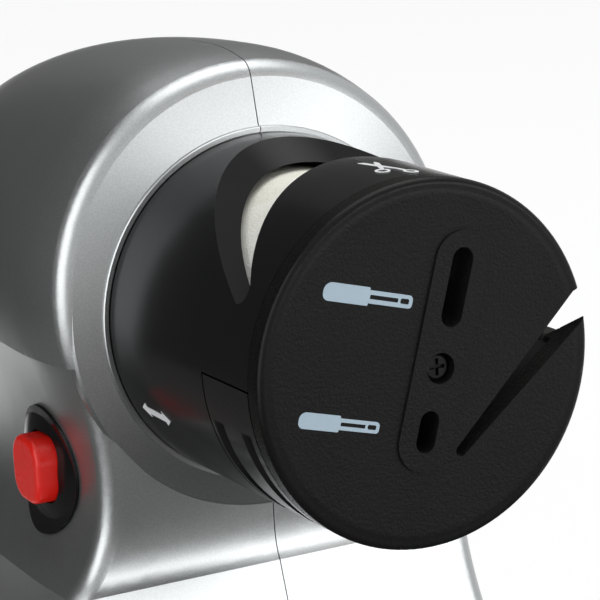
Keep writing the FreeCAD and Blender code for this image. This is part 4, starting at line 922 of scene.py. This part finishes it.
@dataclass
class Studio:
    """Floor, surroundings, soft lights, cards and camera."""

    head: HeadFrame
    floor_reach: float = 6.0
    towards_light: tuple[float, float, float] = (0.7, -0.37, 0.61)
    full_light_at: float = 0.55
    surround_dark: float = 0.05
    surround_light: float = 1.0
    sensor: float = 36.0
    lens: float = 144.0
    camera_place: tuple[float, float, float] = (-153.73, -262.89, 79.07)
    camera_aim: tuple[float, float, float] = (0.4460, 0.8670, -0.2223)
    camera_lean: float = -2.7
    softboxes: tuple[Softbox, ...] = (
        Softbox("overhead", (0.2, 0.0, 1.1), (0.9, 0.9), 6.0),
        Softbox("front_right", (0.45, -0.87, 0.32), (0.7, 0.6), 4.5),
        Softbox("left_fill", (-0.8, -0.3, 0.5), (0.5, 0.5), 2.0, mirrored=False))
    neutral: Colour = (1.0, 0.98, 0.95)
    warm: Colour = (1.0, 0.95, 0.9)

    def floor(self) -> None:
        """A large pale floor under the feet."""
        shaped = bmesh.new()
        bmesh.ops.create_grid(shaped, x_segments=4, y_segments=4, size=self.floor_reach)
        mesh = bpy.data.meshes.new("floor")
        shaped.to_mesh(mesh)
        shaped.free()
        mesh.materials.append(Floor().material())
        piece = bpy.data.objects.new("floor", mesh)
        bpy.context.scene.collection.objects.link(piece)

    def surround(self) -> None:
        """A white backdrop whose light comes mostly from the right and from above."""
        world = bpy.data.worlds.new("room")
        bpy.context.scene.world = world
        world.use_nodes = True
        room = Nodes(world.node_tree)
        direction = room.node("ShaderNodeTexCoord", output="Generated")
        facing = room.node("ShaderNodeVectorMath", {0: direction, 1: self.towards_light}, "Value",
                           operation="DOT_PRODUCT")
        level = room.node("ShaderNodeMapRange", {
            "Value": facing, "From Min": 0.0, "From Max": self.full_light_at,
            "To Min": self.surround_dark, "To Max": self.surround_light}, interpolation_type="SMOOTHSTEP")
        shown = room.node("ShaderNodeBackground", {"Strength": room.seen(level)})
        output = room.tree.nodes.new("ShaderNodeOutputWorld")
        room.feed(output.inputs["Surface"], shown)

    def lights(self) -> None:
        """Large lights overhead and in front on the right, and a fill from the left that mirrors miss."""
        middle = self.head.point(0, 50, -20)
        for softbox in self.softboxes:
            softbox.build(middle)

    def cards(self) -> None:
        """Dark flags behind, under and in front of the head, which paint shade into the reflections, and a
        bright strip on the left, which paints the left ridge's highlight.
        """
        low = 0.002
        for card in (
                # the dark cards paint shade that only mirrors show: the dark side of the room, the floor's
                # shade and the head's contact shadow
                Card("rear_flag", (-0.34, -0.04, 0.0), (0.02, 0.42, 0.0), (0, 0, 0.5), 0.06, self.neutral),
                Card("back_flag", (0.02, 0.42, 0.11), (0.46, 0.42, 0.11), (0, 0, 0.45), 0.12, self.neutral),
                Card("floor_flag", (-0.4, 0.0, low), (-0.05, 0.0, low), (0, 0.45, 0), 0.12, self.neutral),
                # painted contact shadow on the floor under the head, seen only in reflections
                Card("contact_shadow_card", (-0.17, -0.15, low), (0.1, -0.15, low), (0, 0.15, 0), 0.04, self.warm),
                Card("shade_flag", (-0.2, -0.34, low), (0.14, -0.34, low), (0, 0.19, 0), 0.2, self.warm),
                Card("near_flag", (-0.4, -0.7, low), (0.0, -0.7, low), (0, 0.38, 0), 0.4, self.warm),
                Card("front_flag", (0.04, -0.5, 0.24), (0.34, -0.34, 0.24), (0, 0, 0.2), 0.62, self.warm),
                # painted highlight: a bright card that only mirrors show, for the band along the left ridge
                Card("strip", (-0.35, -0.03, 0.0), (-0.28, -0.25, 0.0), (0, 0, 0.45), 3.0, WHITE)):
            card.build()

    def camera(self) -> None:
        """A long lens, in front on the left and a little above, leaning by a few degrees."""
        lens = bpy.data.cameras.new("camera")
        lens.sensor_fit = "HORIZONTAL"
        lens.sensor_width = self.sensor
        lens.lens = self.lens
        holder = bpy.data.objects.new("camera", lens)
        place = self.head.point(*self.camera_place)
        forward = Vector(self.camera_aim).normalized()
        level = forward.cross(Vector((0, 0, 1))).normalized()
        upward = level.cross(forward)
        lean = math.radians(self.camera_lean)
        right = level * math.cos(lean) + upward * math.sin(lean)
        upright = upward * math.cos(lean) - level * math.sin(lean)
        turned = Matrix((right, upright, -forward)).transposed().to_4x4()
        holder.matrix_world = Matrix.Translation(place) @ turned
        bpy.context.scene.collection.objects.link(holder)
        bpy.context.scene.camera = holder

    def build(self) -> None:
        """Set up the whole studio."""
        bpy.context.scene.view_settings.view_transform = "Standard"
        self.floor()
        self.surround()
        self.lights()
        self.cards()
        self.camera()


def main() -> None:
    """Dress the sharpener, print its marks and light it."""
    logging.basicConfig(level=logging.INFO, format="%(name)s: %(message)s")
    head = HeadFrame.read()
    Finishes(head).apply()
    FaceMarks(head).build()
    BarrelMarks(head).build()
    Studio(head).build()


if __name__ == "__main__":
    main()
